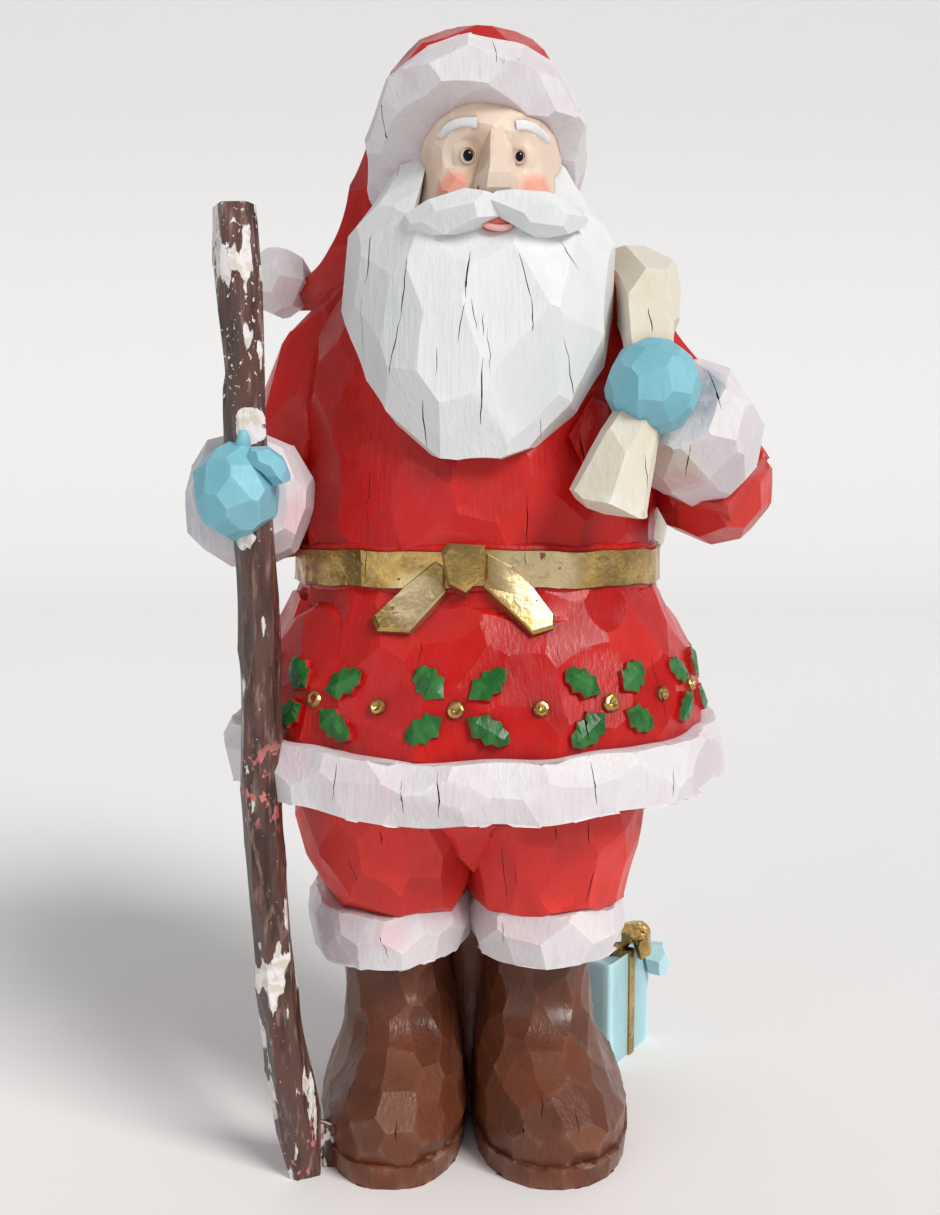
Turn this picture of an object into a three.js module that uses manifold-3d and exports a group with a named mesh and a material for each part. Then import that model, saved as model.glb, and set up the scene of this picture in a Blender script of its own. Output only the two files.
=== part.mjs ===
// Santa figurine: a one-piece casting painted like a carved and knife-faceted wooden figure.
// Millimetres, +Z up. The figure faces -Y and stands on the plane z = 0.
import * as THREE from "three";
import { mergeVertices } from "three/addons/utils/BufferGeometryUtils.js";
import Module from "manifold-3d";

const wasm = await Module();
wasm.setup();

// Driving dimensions
const FIGURE_HEIGHT = 305;
const WAIST_HEIGHT = 163.5;
const BELT_WIDTH = 9;
const BELT_RELIEF = 1.6;
const HEM_HEIGHT = 111;
const HEM_BAND = 15;
const HEM_RELIEF = 4.6;
const HEM_SWAY = 3.6;
const CUFF_HEIGHT = 65;
const CUFF_EDGE = 6.5;
const SOLE_THICKNESS = 5.2;
const CLUSTER_COUNT = 10;
const CLUSTER_HEIGHT = 130.5;
const CLUSTER_START = -4;
const LEAF_LENGTH = 11;
const LEAF_WIDTH = 6;
const LEAF_RELIEF = 1;
const LEAF_REACH = 9.2;
const BERRY_SIZE = 4.2;
const GIFT_SIZE = 30;
const GIFT_HEIGHT = 32;
const GIFT_TURN = 58;
const GIFT_CORNER = [45, 37];
const BOW_SHIFT = 9;
const KNIFE_CUT = 0.018;
const GRAIN_SINK = 3;

// Stations of the coat from the fur hem to the neck: height, centre x and y, half width, front, back
const HEM_EDGE = HEM_BAND / 2;
const BELT_EDGE = BELT_WIDTH / 2;
const COAT = [
  [HEM_HEIGHT - HEM_EDGE, 1, 0, 63.4, 56.5, 53.5],
  [HEM_HEIGHT - HEM_EDGE * 0.8, 1, 0, 63.4 + HEM_RELIEF, 56.5 + HEM_RELIEF, 53.5 + HEM_RELIEF],
  [HEM_HEIGHT, 1, 0, 64 + HEM_RELIEF, 57.4 + HEM_RELIEF, 54.2 + HEM_RELIEF],
  [HEM_HEIGHT + HEM_EDGE * 0.8, 1, 0, 63 + HEM_RELIEF, 56 + HEM_RELIEF, 52.8 + HEM_RELIEF],
  [HEM_HEIGHT + HEM_EDGE, 1, 0, 63.4, 56.5, 53],
  [CLUSTER_HEIGHT, 1.4, 0, 61, 54, 50],
  [141, 1.8, 0, 57.4, 50, 46],
  [151, 2, 0, 52.6, 46.2, 41.6],
  [WAIST_HEIGHT - BELT_EDGE - 0.6, 2, 0, 48.8, 43.2, 38.6],
  [WAIST_HEIGHT - BELT_EDGE, 2, 0, 48.4 + BELT_RELIEF, 43 + BELT_RELIEF, 38 + BELT_RELIEF],
  [WAIST_HEIGHT + BELT_EDGE, 2, 0, 48.4 + BELT_RELIEF, 43 + BELT_RELIEF, 38 + BELT_RELIEF],
  [WAIST_HEIGHT + BELT_EDGE + 0.6, 2, 0, 48.4, 42.9, 38],
  [184, 2.5, 0.5, 48.6, 42, 38],
  [199, 3, 1, 49, 41, 38],
  [214, 3.5, 1, 48, 38, 37],
  [228, 4, 2, 44, 33, 34],
  [240, 4, 2, 36, 26, 28],
  [250, 4, 2, 22, 17, 18],
];
const COAT_SIDES = 22;
const COAT_SQUARE = 2.1;

// One stream of random numbers makes every cut, so the figure comes out the same each time.
function makeRandom(seed) {
  let state = seed >>> 0;
  return () => {
    state = (Math.imul(state, 1664525) + 1013904223) >>> 0;
    return state / 4294967296;
  };
}

function catmull(a, b, c, d, t) {
  const cubic = -a + 3 * b - 3 * c + d;
  const square = 2 * a - 5 * b + 4 * c - d;
  return 0.5 * (2 * b + (c - a) * t + square * t * t + cubic * t * t * t);
}

// A value on the smooth curve through all stations, t from 0 at the first to 1 at the last
function sampleStations(stations, t) {
  const last = stations.length - 1;
  const place = Math.min(Math.max(t, 0), 1) * last;
  const index = Math.min(Math.floor(place), last - 1);
  const part = place - index;
  const before = stations[Math.max(index - 1, 0)];
  const after = stations[Math.min(index + 2, last)];
  return stations[index].map((value, k) =>
    catmull(before[k], value, stations[index + 1][k], after[k], part));
}

// A closed body over staggered rings. pointAt(row, angle, cut) gives a ring's point.
function skinRings(rowCount, sides, pointAt, bottom, top, rough, seed) {
  const random = makeRandom(seed);
  const points = [];
  for (let row = 0; row < rowCount; row += 1) {
    for (let side = 0; side < sides; side += 1) {
      const angle = ((side + (row % 2) / 2) / sides) * Math.PI * 2;
      const cut = 1 + rough * (random() * 2 - 1);
      points.push(...pointAt(row, angle, cut));
    }
  }
  const faces = [];
  for (let row = 0; row + 1 < rowCount; row += 1) {
    for (let side = 0; side < sides; side += 1) {
      const next = (side + 1) % sides;
      const lower = row * sides;
      const upper = lower + sides;
      if (row % 2 === 0) {
        faces.push(lower + side, lower + next, upper + side);
        faces.push(upper + side, lower + next, upper + next);
      } else {
        faces.push(lower + side, upper + next, upper + side);
        faces.push(lower + side, lower + next, upper + next);
      }
    }
  }
  const bottomPoint = rowCount * sides;
  const topPoint = bottomPoint + 1;
  points.push(...bottom, ...top);
  for (let side = 0; side < sides; side += 1) {
    const next = (side + 1) % sides;
    faces.push(bottomPoint, next, side);
    faces.push(topPoint, (rowCount - 1) * sides + side, (rowCount - 1) * sides + next);
  }
  return toSolid(points, faces);
}

function toSolid(points, faces) {
  const mesh = new wasm.Mesh({
    numProp: 3,
    vertProperties: new Float32Array(points),
    triVerts: new Uint32Array(faces),
  });
  return new wasm.Manifold(mesh);
}

function fromGeometry(geometry) {
  geometry.deleteAttribute("normal");
  geometry.deleteAttribute("uv");
  const merged = mergeVertices(geometry, 1e-4);
  return toSolid(merged.attributes.position.array, merged.index.array);
}

// Rounded section of a ring: square 2 is an ellipse, more is boxier
function sectionPoint(angle, halfWidth, front, back, square) {
  const power = 2 / square;
  const c = Math.cos(angle);
  const s = Math.sin(angle);
  const depth = s < 0 ? front : back;
  return [
    halfWidth * Math.sign(c) * Math.abs(c) ** power,
    depth * Math.sign(s) * Math.abs(s) ** power,
  ];
}

// An upright form through level sections
function uprightForm(stations, options) {
  const { rows = stations.length, sides, square = 2.2, rough = KNIFE_CUT, sway, seed } = options;
  const first = stations[0];
  const last = stations[stations.length - 1];
  const pointAt = (row, angle, cut) => {
    const [z, x, y, halfWidth, front, back] = sampleStations(stations, row / (rows - 1));
    const [u, v] = sectionPoint(angle, halfWidth * cut, front * cut, back * cut, square);
    return [x + u, y + v, z + (sway ? sway(angle, z) : 0)];
  };
  const bottom = [first[1], first[2], first[0]];
  const top = [last[1], last[2], last[0]];
  return skinRings(rows, sides, pointAt, bottom, top, rough, seed);
}

// A form along a bent centre line. Stations: x, y, z, radius across, radius along the second side
function limb(stations, { rows, sides, up = [0, 0, 1], rough = KNIFE_CUT * 2, seed }) {
  const centreAt = (t) => new THREE.Vector3(...sampleStations(stations, t).slice(0, 3));
  const reference = new THREE.Vector3(...up);
  const pointAt = (row, angle, cut) => {
    const t = row / (rows - 1);
    const station = sampleStations(stations, t);
    const ahead = centreAt(Math.min(t + 0.02, 1));
    const direction = ahead.sub(centreAt(Math.max(t - 0.02, 0))).normalize();
    const across = new THREE.Vector3().crossVectors(reference, direction).normalize();
    const along = new THREE.Vector3().crossVectors(direction, across);
    return new THREE.Vector3(station[0], station[1], station[2])
      .addScaledVector(across, Math.cos(angle) * station[3] * cut)
      .addScaledVector(along, Math.sin(angle) * (station[4] ?? station[3]) * cut)
      .toArray();
  };
  const start = stations[0].slice(0, 3);
  const end = stations[stations.length - 1].slice(0, 3);
  return skinRings(rows, sides, pointAt, start, end, rough, seed);
}

function ball([x, y, z], [rx, ry, rz], detail, rough, seed) {
  const geometry = new THREE.IcosahedronGeometry(1, detail);
  geometry.deleteAttribute("normal");
  geometry.deleteAttribute("uv");
  const merged = mergeVertices(geometry, 1e-4);
  const random = makeRandom(seed);
  const position = merged.attributes.position;
  for (let i = 0; i < position.count; i += 1) {
    const cut = 1 + rough * (random() * 2 - 1);
    const u = x + position.getX(i) * rx * cut;
    const v = y + position.getY(i) * ry * cut;
    const w = z + position.getZ(i) * rz * cut;
    position.setXYZ(i, u, v, w);
  }
  return toSolid(position.array, merged.index.array);
}

// A raised patch on a surface. place(u, v, h) gives the point at height h over the surface.
function patch(outline, place, rim, crown, sink = GRAIN_SINK) {
  const count = outline.length;
  const middle = [0, 1].map((k) => outline.reduce((sum, p) => sum + p[k], 0) / count);
  const points = [];
  for (const [u, v] of outline) {
    points.push(...place(u, v, -sink));
  }
  for (const [u, v] of outline) {
    points.push(...place(u, v, rim));
  }
  points.push(...place(...middle, -sink), ...place(...middle, crown));
  const faces = [];
  for (let i = 0; i < count; i += 1) {
    const next = (i + 1) % count;
    faces.push(i, next, count + i);
    faces.push(count + i, next, count + next);
    faces.push(2 * count, next, i);
    faces.push(2 * count + 1, count + i, count + next);
  }
  return toSolid(points, faces);
}

// The coat's section at a height, between the stations around it
function coatSection(z) {
  let low = 0;
  while (low + 2 < COAT.length && COAT[low + 1][0] < z) {
    low += 1;
  }
  const share = (z - COAT[low][0]) / (COAT[low + 1][0] - COAT[low][0]);
  return COAT[low].map((value, k) => value + (COAT[low + 1][k] - value) * share);
}

function coatPoint(angle, z) {
  const [, x, y, halfWidth, front, back] = coatSection(z);
  const [u, v] = sectionPoint(angle, halfWidth, front, back, COAT_SQUARE);
  return new THREE.Vector3(x + u, y + v, z + hemSway(angle, z));
}

// A place on the coat for patches, turned from the front towards +X by so many degrees
function onCoat(turn, z) {
  const angle = THREE.MathUtils.degToRad(turn - 90);
  const step = 0.02;
  const origin = coatPoint(angle, z);
  const across = coatPoint(angle + step, z).sub(coatPoint(angle - step, z)).normalize();
  const upward = coatPoint(angle, z + 2).sub(coatPoint(angle, z - 2)).normalize();
  const outward = new THREE.Vector3().crossVectors(across, upward).normalize();
  return (u, v, h) => origin
    .clone()
    .addScaledVector(across, u)
    .addScaledVector(upward, v)
    .addScaledVector(outward, h)
    .toArray();
}

function polygon(count, radius) {
  return Array.from({ length: count }, (_, i) => {
    const angle = ((i + 0.5) / count) * Math.PI * 2;
    return [radius * Math.cos(angle), radius * Math.sin(angle)];
  });
}

// The hem hangs lower in front and behind than at the sides.
function hemSway(angle, z) {
  const share = Math.max(0, 1 - Math.max(0, z - HEM_HEIGHT) / (WAIST_HEIGHT - BELT_WIDTH - HEM_HEIGHT));
  return HEM_SWAY * share * Math.cos(angle) ** 2;
}

function coat() {
  return uprightForm(COAT,
    { sides: COAT_SIDES, square: COAT_SQUARE, rough: 0.012, sway: hemSway, seed: 11 });
}

// The belt's knot and its two ribbon ends lie on the coat below the waist.
function beltTie() {
  const place = onCoat(-4, WAIST_HEIGHT + 1);
  const knot = [[-5, 3.4], [-3.4, -5], [1, -7.4], [5, -2.2], [5, 5.2], [-3.4, 5.6]];
  const leftEnd = [[-4, 0], [-6.5, 1.5], [-22, -13.4], [-19.6, -16.6], [-11.6, -16.6], [-4, -7]];
  const rightEnd = [[5, 4], [11.4, 0.5], [21.6, -13], [21, -15.6], [15.6, -17], [5, -5.5]];
  return [
    patch(knot, place, 3, 4, 6),
    patch(leftEnd, place, 1.6, 1.6, 9),
    patch(rightEnd.reverse(), place, 1.6, 1.6, 9),
  ];
}

// A holly leaf with two points on each side, its tip away from the berry
function leafOutline(direction) {
  const half = LEAF_LENGTH / 2;
  const wide = LEAF_WIDTH / 2;
  const side = [[-0.45, 0.9], [0.1, 0.6], [0.4, 0.9]];
  const outline = [
    [-half, 0],
    ...side.map(([along, across]) => [along * half, -across * wide]),
    [half, 0],
    ...side.reverse().map(([along, across]) => [along * half, across * wide]),
  ];
  const c = Math.cos(direction);
  const s = Math.sin(direction);
  return outline.map(([u, v]) => {
    const out = u + LEAF_REACH;
    return [out * c - v * s, out * s + v * c];
  });
}

function hollyBand() {
  const pieces = [];
  const step = 360 / CLUSTER_COUNT;
  const diagonals = [35, 145, 217, 323].map(THREE.MathUtils.degToRad);
  for (let i = 0; i < CLUSTER_COUNT; i += 1) {
    const turn = CLUSTER_START + i * step;
    const cluster = onCoat(turn, CLUSTER_HEIGHT);
    for (const direction of diagonals) {
      pieces.push(patch(leafOutline(direction), cluster, LEAF_RELIEF, LEAF_RELIEF + 0.7));
    }
    pieces.push(patch(polygon(5, BERRY_SIZE / 2), cluster, 1.2, 2.2));
    const between = onCoat(turn + step / 2, CLUSTER_HEIGHT);
    pieces.push(patch(polygon(5, BERRY_SIZE * 0.4), between, 0.9, 1.7));
  }
  return pieces;
}

// A whole leg with boot, fur cuff and trouser. Side -1 is -X, where the stick stands.
function leg(side, centre, half, seed) {
  const ankle = (z, shift, y, shrink, front, back) =>
    [z, side * (centre - shift), y, half - shrink, front, back];
  const band = (z, halfWidth, front, back) => [z, side * 22.2, 4, halfWidth, front, back];
  return uprightForm([
    [-2, side * centre, 6, half + 0.5, 42.2, 42],
    [SOLE_THICKNESS - 0.5, side * centre, 6, half + 0.5, 42.2, 42],
    [SOLE_THICKNESS + 0.3, side * centre, 6, half - 0.7, 41, 41],
    [12, side * centre, 6, half, 42, 41.5],
    ankle(20, 0.3, 7, 0.8, 41, 40),
    ankle(27, 0.6, 9, 2.6, 36, 36),
    ankle(33, 1, 12, 4.2, 25, 30),
    ankle(41, 1.4, 13, 4.8, 21.4, 25),
    ankle(50, 1.4, 12, 4.6, 21.4, 23),
    ankle(CUFF_HEIGHT - CUFF_EDGE - 1, 1.2, 10, 4, 20.6, 22),
    band(CUFF_HEIGHT - CUFF_EDGE, 21.4, 36, 32.6),
    band(CUFF_HEIGHT, 23, 38.5, 35),
    band(CUFF_HEIGHT + CUFF_EDGE * 0.8, 22.6, 38, 35),
    [CUFF_HEIGHT + CUFF_EDGE + 0.5, side * 21.2, 4, 21.2, 33.5, 30],
    [82, side * 21.6, 2, 24.4, 37.8, 34.4],
    [95, side * 22.2, 0, 26.2, 40, 38],
    [112, side * 22, 0, 26, 40, 38],
  ], { sides: 16, square: 2.4, seed });
}

function legs() {
  const bridge = uprightForm([
    [-2, 0.5, 14, 9, 12, 22],
    [30, 0.5, 16, 9, 8, 14],
    [62, 0.5, 14, 9, 8, 12],
  ], { sides: 6, seed: 35 });
  return [leg(-1, 21.2, 20.4, 31), leg(1, 22.6, 22.4, 32), bridge];
}

// The arm on the stick's side comes forward from the elbow and ends in a mitten round the stick.
function stickArm() {
  return [
    limb([[-32, 4, 227, 14], [-41, 2, 210, 14], [-46, -1, 193, 14.5], [-50, -5, 178, 14]],
      { rows: 5, sides: 12, up: [0, 1, 0], seed: 41 }),
    ball([-50.5, -6, 178.5], [14.2, 14, 14], 1, 0.03, 42),
    limb([[-51, -4, 178, 13], [-55, -20, 180, 13.4]], { rows: 3, sides: 12, seed: 43 }),
    limb([
      [-54.4, -15, 179, 11, 12.5],
      [-55.4, -18, 179.6, 14.2, 16],
      [-56.8, -28, 180.6, 15.2, 17.2],
      [-57.3, -35, 181, 14.4, 16.2],
      [-57.4, -38, 181.2, 11, 12.5],
    ], { rows: 5, sides: 14, seed: 44 }),
    ball([-56.4, -46, 183], [11, 11.5, 12.2], 1, 0.03, 45),
    limb([[-56, -53, 190, 4], [-50, -55, 189.6, 4.6], [-44.8, -52, 187, 4.2], [-43.6, -47, 185, 3]],
      { rows: 4, sides: 8, seed: 46 }),
  ];
}

// The other arm bends up to hold the neck of the sack in front of the shoulder.
function sackArm() {
  return [
    limb([[42, 4, 219, 15.5], [54, 2, 206, 14.5], [62, -2, 194, 14.4], [66, -5, 185, 14.6]],
      { rows: 5, sides: 12, up: [0, 1, 0], seed: 51 }),
    ball([66.4, -5, 184.4], [15.4, 15, 15.4], 1, 0.03, 52),
    limb([[66, -6, 185, 14.4], [63, -20, 192, 14]], { rows: 3, sides: 12, seed: 53 }),
    limb([
      [61.4, -14, 191, 12],
      [60.2, -18, 193.4, 15],
      [56.4, -27, 198.6, 16.4],
      [53, -34, 202, 15.4],
      [51.6, -37, 203.6, 12],
    ], { rows: 5, sides: 14, seed: 54 }),
    ball([44.4, -47, 208.3], [11.8, 11.5, 12.4], 1, 0.03, 55),
  ];
}

// The sack runs from its cut end over the mitten and the shoulder to the bag on the back.
function sack() {
  return [
    limb([[45, -46, 206, 5.6, 5.6], [39.6, -49, 192, 8.2, 7.4], [34, -50, 179, 10, 8]],
      { rows: 4, sides: 10, up: [0, 1, 0], seed: 61 }),
    limb([
      [43, -45, 212, 5.6],
      [42.4, -38, 222, 6.6],
      [45, -24, 233, 9.6],
      [47, -7, 240.5, 10.2],
      [46, 8, 242, 12],
      [38, 24, 234, 18],
    ], { rows: 8, sides: 10, up: [1, 0, 0], rough: 0.05, seed: 62 }),
    uprightForm([
      [120, 14, 42, 12, 10, 12],
      [126, 10, 42, 28, 28, 25],
      [142, 9, 42, 37, 36, 34],
      [156, 11, 42, 42.6, 38, 37],
      [172, 14.5, 42, 46, 38, 37],
      [192, 17, 40, 43, 34, 34],
      [212, 24, 34, 33, 26, 27],
      [230, 32, 28, 22, 18, 18],
      [240, 38, 24, 10, 9, 9],
    ], { sides: 14, rough: 0.03, seed: 63 }),
  ];
}

function head() {
  return [
    uprightForm([
      [236, 3, -3, 28, 30, 22],
      [248, 2.6, -3, 28, 27, 23],
      [258, 2.6, -3, 24.6, 22, 23],
      [268, 2.6, -3, 20.6, 19, 23],
      [285, 2, -3, 20, 20, 23],
    ], { sides: 14, seed: 71 }),
    uprightForm([
      [240, 5, -13, 17.4, 23, 12],
      [252, 5, -13, 17.6, 25, 12],
      [268, 5, -13, 16.8, 25, 12],
      [285, 5, -12, 15, 20, 12],
    ], { rows: 5, sides: 14, rough: 0.008, seed: 72 }),
    uprightForm([
      [251, 6.2, -34, 3, 6, 6],
      [254.6, 6.2, -34, 5.6, 13.6, 8],
      [258, 6.2, -34, 4.8, 13, 8],
      [265, 6.2, -34, 3, 7.4, 8],
      [273, 6, -34, 2, 3.6, 8],
    ], { rows: 5, sides: 8, rough: 0.01, seed: 73 }),
    limb([[-7.6, -31.6, 269.4, 1.6], [-4, -34.4, 272.4, 2], [2, -36.4, 272, 1.8]],
      { rows: 4, sides: 6, seed: 74 }),
    limb([[10.4, -36.2, 271.8, 1.8], [15.4, -33.8, 271.6, 2], [19.4, -29.8, 268.4, 1.6]],
      { rows: 4, sides: 6, seed: 75 }),
  ];
}

function beard() {
  const bib = uprightForm([
    [189.5, 3, -38, 9, 10, 14],
    [194, 3.4, -36, 17, 14.4, 16],
    [202, 3.2, -32, 24, 19, 16],
    [212, 3, -28, 30.4, 23.6, 16],
    [224, 2.6, -24, 34.2, 27, 18],
    [236, 2.6, -20, 34, 30, 18],
    [248, 2.4, -16, 32.4, 30.6, 18],
    [257, 2.4, -12, 27, 24, 18],
    [266, 3, -10, 20.4, 18.6, 18],
  ], { sides: 18, square: 2.3, seed: 81 });
  const wing = (side, seed) => limb([
    [6.2 - side * 1, -47, 250.6, 2.8, 3.2],
    [6.2 + side * 7, -47.4, 249.6, 4.4, 5.4],
    [6.2 + side * 14, -44.6, 247, 4.4, 5.6],
    [6.2 + side * 20, -40, 246, 3, 3.6],
    [6.2 + side * 22.6, -37, 246.6, 1.2, 1.4],
  ], { rows: 6, sides: 8, rough: 0.03, seed });
  const mouth = ball([6.4, -44.5, 244.4], [4.4, 3.2, 2.4], 0, 0, 84);
  return [bib, wing(-1, 82), wing(1, 83), mouth];
}

// The fur band of the hat is an oval ring tilted up at the forehead.
function hatTrim() {
  const centre = new THREE.Vector3(2.1, -7.6, 270.4);
  const tilt = THREE.MathUtils.degToRad(33);
  const forward = new THREE.Vector3(0, -Math.cos(tilt), Math.sin(tilt));
  const upward = new THREE.Vector3(0, Math.sin(tilt), Math.cos(tilt));
  const across = new THREE.Vector3(1, 0, 0);
  const band = (lift, swell) => (angle, cut) => {
    const [u, v] = sectionPoint(angle, 22 + swell, 30 + swell, 27 + swell, 2.2);
    return centre.clone()
      .addScaledVector(across, u * cut)
      .addScaledVector(forward, -v * cut)
      .addScaledVector(upward, lift)
      .toArray();
  };
  const rings = [band(-9, 1.5), band(-6.8, 5.4), band(0, 7), band(6.8, 5.6), band(9, 1.5)];
  const end = (lift) => centre.clone().addScaledVector(upward, lift).toArray();
  return skinRings(rings.length, 20, (row, angle, cut) => rings[row](angle, cut),
    end(-9), end(9), 0.02, 91);
}

function hat() {
  return [
    hatTrim(),
    uprightForm([
      [262, 0.6, -2, 24, 22, 26],
      [276, 0.8, 0, 25, 27, 27],
      [288, 0.8, 2, 24, 25, 25],
      [296, 2, 1, 20.6, 22, 21],
      [302, 3, -1, 14.4, 15, 14],
      [FIGURE_HEIGHT, 3.4, -2, 6, 6, 6],
    ], { sides: 16, rough: 0.012, seed: 92 }),
    limb([
      [-11, 10, 288, 13],
      [-16, 13, 274, 12.8],
      [-22.6, 15, 260.6, 12],
      [-30, 16, 249.6, 9.4],
      [-38, 17, 242, 6.4],
      [-45, 18, 239.4, 4.6],
      [-51, 18, 239.6, 3.6],
    ], { rows: 9, sides: 10, up: [0, 1, 0], seed: 93 }),
    ball([-54.4, 18, 241.6], [9.2, 9.2, 9.2], 1, 0.04, 94),
  ];
}

// The walking stick leans along the figure from the boot to above the shoulder.
function stick() {
  const shaft = limb([
    [-44.8, -26, -2, 4.6],
    [-45.4, -26.8, 6.4, 5.2],
    [-46.9, -28.7, 21.2, 5.9],
    [-48.6, -31, 36, 5.4],
    [-50.2, -33.2, 50.5, 5.1],
    [-51, -35.2, 64.7, 5],
    [-51.7, -37.2, 78.5, 4.9],
    [-51.9, -39.3, 92.2, 4.8],
    [-52.1, -41.1, 105.5, 4.8],
    [-52.2, -42.3, 131.1, 5.1],
    [-52.5, -42.7, 156.1, 5],
    [-52.8, -43, 169.7, 4.9],
    [-54.6, -43, 197.7, 5.2],
    [-55, -43, 216.9, 5.3],
    [-55.6, -43, 228.8, 5.3],
    [-56.4, -43, 245.4, 5],
    [-56.7, -43, 251, 4.2],
  ], { rows: 24, sides: 8, up: [0, 1, 0], rough: 0.05, seed: 95 });
  const web = uprightForm([
    [-2, -39, -20, 8, 6, 8],
    [10, -40, -21, 6, 5, 6],
    [22, -42, -24, 3, 3, 3],
  ], { rows: 3, sides: 8, seed: 96 });
  return [shaft, web];
}

// The gift is a ribboned box cast against the heel of the boot, one corner forward.
function gift() {
  const turn = new THREE.Matrix4().makeRotationZ(THREE.MathUtils.degToRad(GIFT_TURN));
  const place = (width, depth, height, u, v, w) => {
    const geometry = new THREE.BoxGeometry(width, depth, height);
    geometry.translate(u, v, w);
    geometry.applyMatrix4(turn);
    geometry.translate(GIFT_CORNER[0], GIFT_CORNER[1], 0);
    return fromGeometry(geometry);
  };
  const half = GIFT_SIZE / 2;
  const ribbon = 4;
  const proud = 0.7;
  const bowCentre = new THREE.Vector3(half, half - BOW_SHIFT, 0).applyMatrix4(turn);
  const bowX = GIFT_CORNER[0] + bowCentre.x;
  const bowY = GIFT_CORNER[1] + bowCentre.y;
  const loop = (side, seed) => limb([
    [bowX, bowY, GIFT_HEIGHT, 1.6],
    [bowX + side * 4.4, bowY - 2, GIFT_HEIGHT + 5, 3],
    [bowX + side * 9, bowY - 3, GIFT_HEIGHT + 3, 2.6],
    [bowX + side * 10, bowY - 3, GIFT_HEIGHT - 0.4, 1.4],
  ], { rows: 5, sides: 7, up: [0, 1, 0], seed });
  return [
    place(GIFT_SIZE, GIFT_SIZE, GIFT_HEIGHT, half, half, GIFT_HEIGHT / 2),
    place(ribbon, GIFT_SIZE + proud * 2, GIFT_HEIGHT + proud, half, half, (GIFT_HEIGHT + proud) / 2),
    place(GIFT_SIZE + proud * 2, ribbon, GIFT_HEIGHT + proud, half, half, (GIFT_HEIGHT + proud) / 2),
    loop(-1, 97),
    loop(1, 98),
    ball([bowX, bowY, GIFT_HEIGHT + 3], [3.4, 3.4, 3.6], 0, 0.05, 99),
    ball([61.6, 60, 28], [4, 4.6, 5.4], 1, 0.03, 100),
  ];
}

// Joins every form, cuts the underside flat and stands the figure on the middle of its box.
function buildFigure() {
  const forms = [
    coat(), ...beltTie(), ...hollyBand(), ...legs(),
    ...stickArm(), ...sackArm(), ...sack(),
    ...head(), ...beard(), ...hat(),
    ...stick(), ...gift(),
  ];
  const joined = forms.reduce((whole, form) => whole.add(form));
  const standing = joined.trimByPlane([0, 0, 1], 0);
  const box = standing.boundingBox();
  const middleX = (box.min[0] + box.max[0]) / 2;
  const middleY = (box.min[1] + box.max[1]) / 2;
  return standing.translate([-middleX, -middleY, 0]);
}

const solid = buildFigure();
const result = solid.getMesh();
const geometry = new THREE.BufferGeometry();
geometry.setAttribute("position", new THREE.BufferAttribute(result.vertProperties, 3));
geometry.setIndex(new THREE.BufferAttribute(result.triVerts, 1));
geometry.computeVertexNormals();

const paint = new THREE.MeshStandardMaterial({ color: 0xc01f1a, roughness: 0.45, metalness: 0 });
const figure = new THREE.Mesh(geometry, paint);
figure.name = "santa_figurine";

const group = new THREE.Group();
group.add(figure);
export default group;
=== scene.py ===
"""Santa figurine: a resin casting that looks cut with a knife and painted by hand.

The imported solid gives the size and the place. Every form that shows is built again from the same named
sizes, cut into knife facets, joined into closed pieces, cracked, and painted with node materials.
"""

import math

import bpy
import numpy as np
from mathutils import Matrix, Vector
from mathutils.bvhtree import BVHTree


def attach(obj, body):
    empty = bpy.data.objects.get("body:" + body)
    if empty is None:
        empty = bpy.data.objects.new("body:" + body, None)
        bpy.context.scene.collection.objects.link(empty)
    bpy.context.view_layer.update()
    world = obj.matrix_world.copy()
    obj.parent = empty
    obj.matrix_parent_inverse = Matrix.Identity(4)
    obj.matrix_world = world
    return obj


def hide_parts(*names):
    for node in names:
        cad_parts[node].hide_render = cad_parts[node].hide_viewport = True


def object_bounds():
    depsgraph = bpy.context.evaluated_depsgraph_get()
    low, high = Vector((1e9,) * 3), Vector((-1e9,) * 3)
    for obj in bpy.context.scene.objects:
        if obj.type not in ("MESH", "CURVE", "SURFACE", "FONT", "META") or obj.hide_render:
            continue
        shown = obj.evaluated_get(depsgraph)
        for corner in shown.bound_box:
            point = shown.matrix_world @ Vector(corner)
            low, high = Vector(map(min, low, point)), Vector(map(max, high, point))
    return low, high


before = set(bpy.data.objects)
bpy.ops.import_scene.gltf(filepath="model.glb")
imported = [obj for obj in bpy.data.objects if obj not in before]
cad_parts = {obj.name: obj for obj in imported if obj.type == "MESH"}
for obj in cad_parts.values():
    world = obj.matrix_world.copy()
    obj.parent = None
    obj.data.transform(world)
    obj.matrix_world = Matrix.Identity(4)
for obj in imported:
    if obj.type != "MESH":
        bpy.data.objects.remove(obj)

bl_info = {
    "name": "Santa Figurine",
    "version": (1, 0, 0),
    "blender": (4, 5, 0),
    "location": "View3D > Sidebar > Figurine",
    "description": "Builds a knife-cut, painted santa figurine around its packed solid",
    "category": "Add Mesh",
}

CAD_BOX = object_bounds()
NODE = "santa_figurine"
BODY = "root"

# Forms are written in millimetres about the figure's own upright, which stands here in the frame.
MILLIMETRE = 0.001
FIGURE_SHIFT = np.array([-5.024, -8.473, 0.0])

# The photograph's frame and its camera, in pixels of that frame and in millimetres
IMAGE_WIDTH = 940
IMAGE_HEIGHT = 1215
FOCAL_PIXELS = 1352
CAMERA_PLACE = (0.0, -374.8, 185.6)
CAMERA_PITCH = math.atan(127.5 / FOCAL_PIXELS)

# Grid sizes of the forms' surfaces
EDGE = 1.5
FINE_EDGE = 0.7
TINY = 1e-9
OUT_OF_REACH = 1e3
TURN_WEIGHT = 0.95
MARGIN = 2.0

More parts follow.
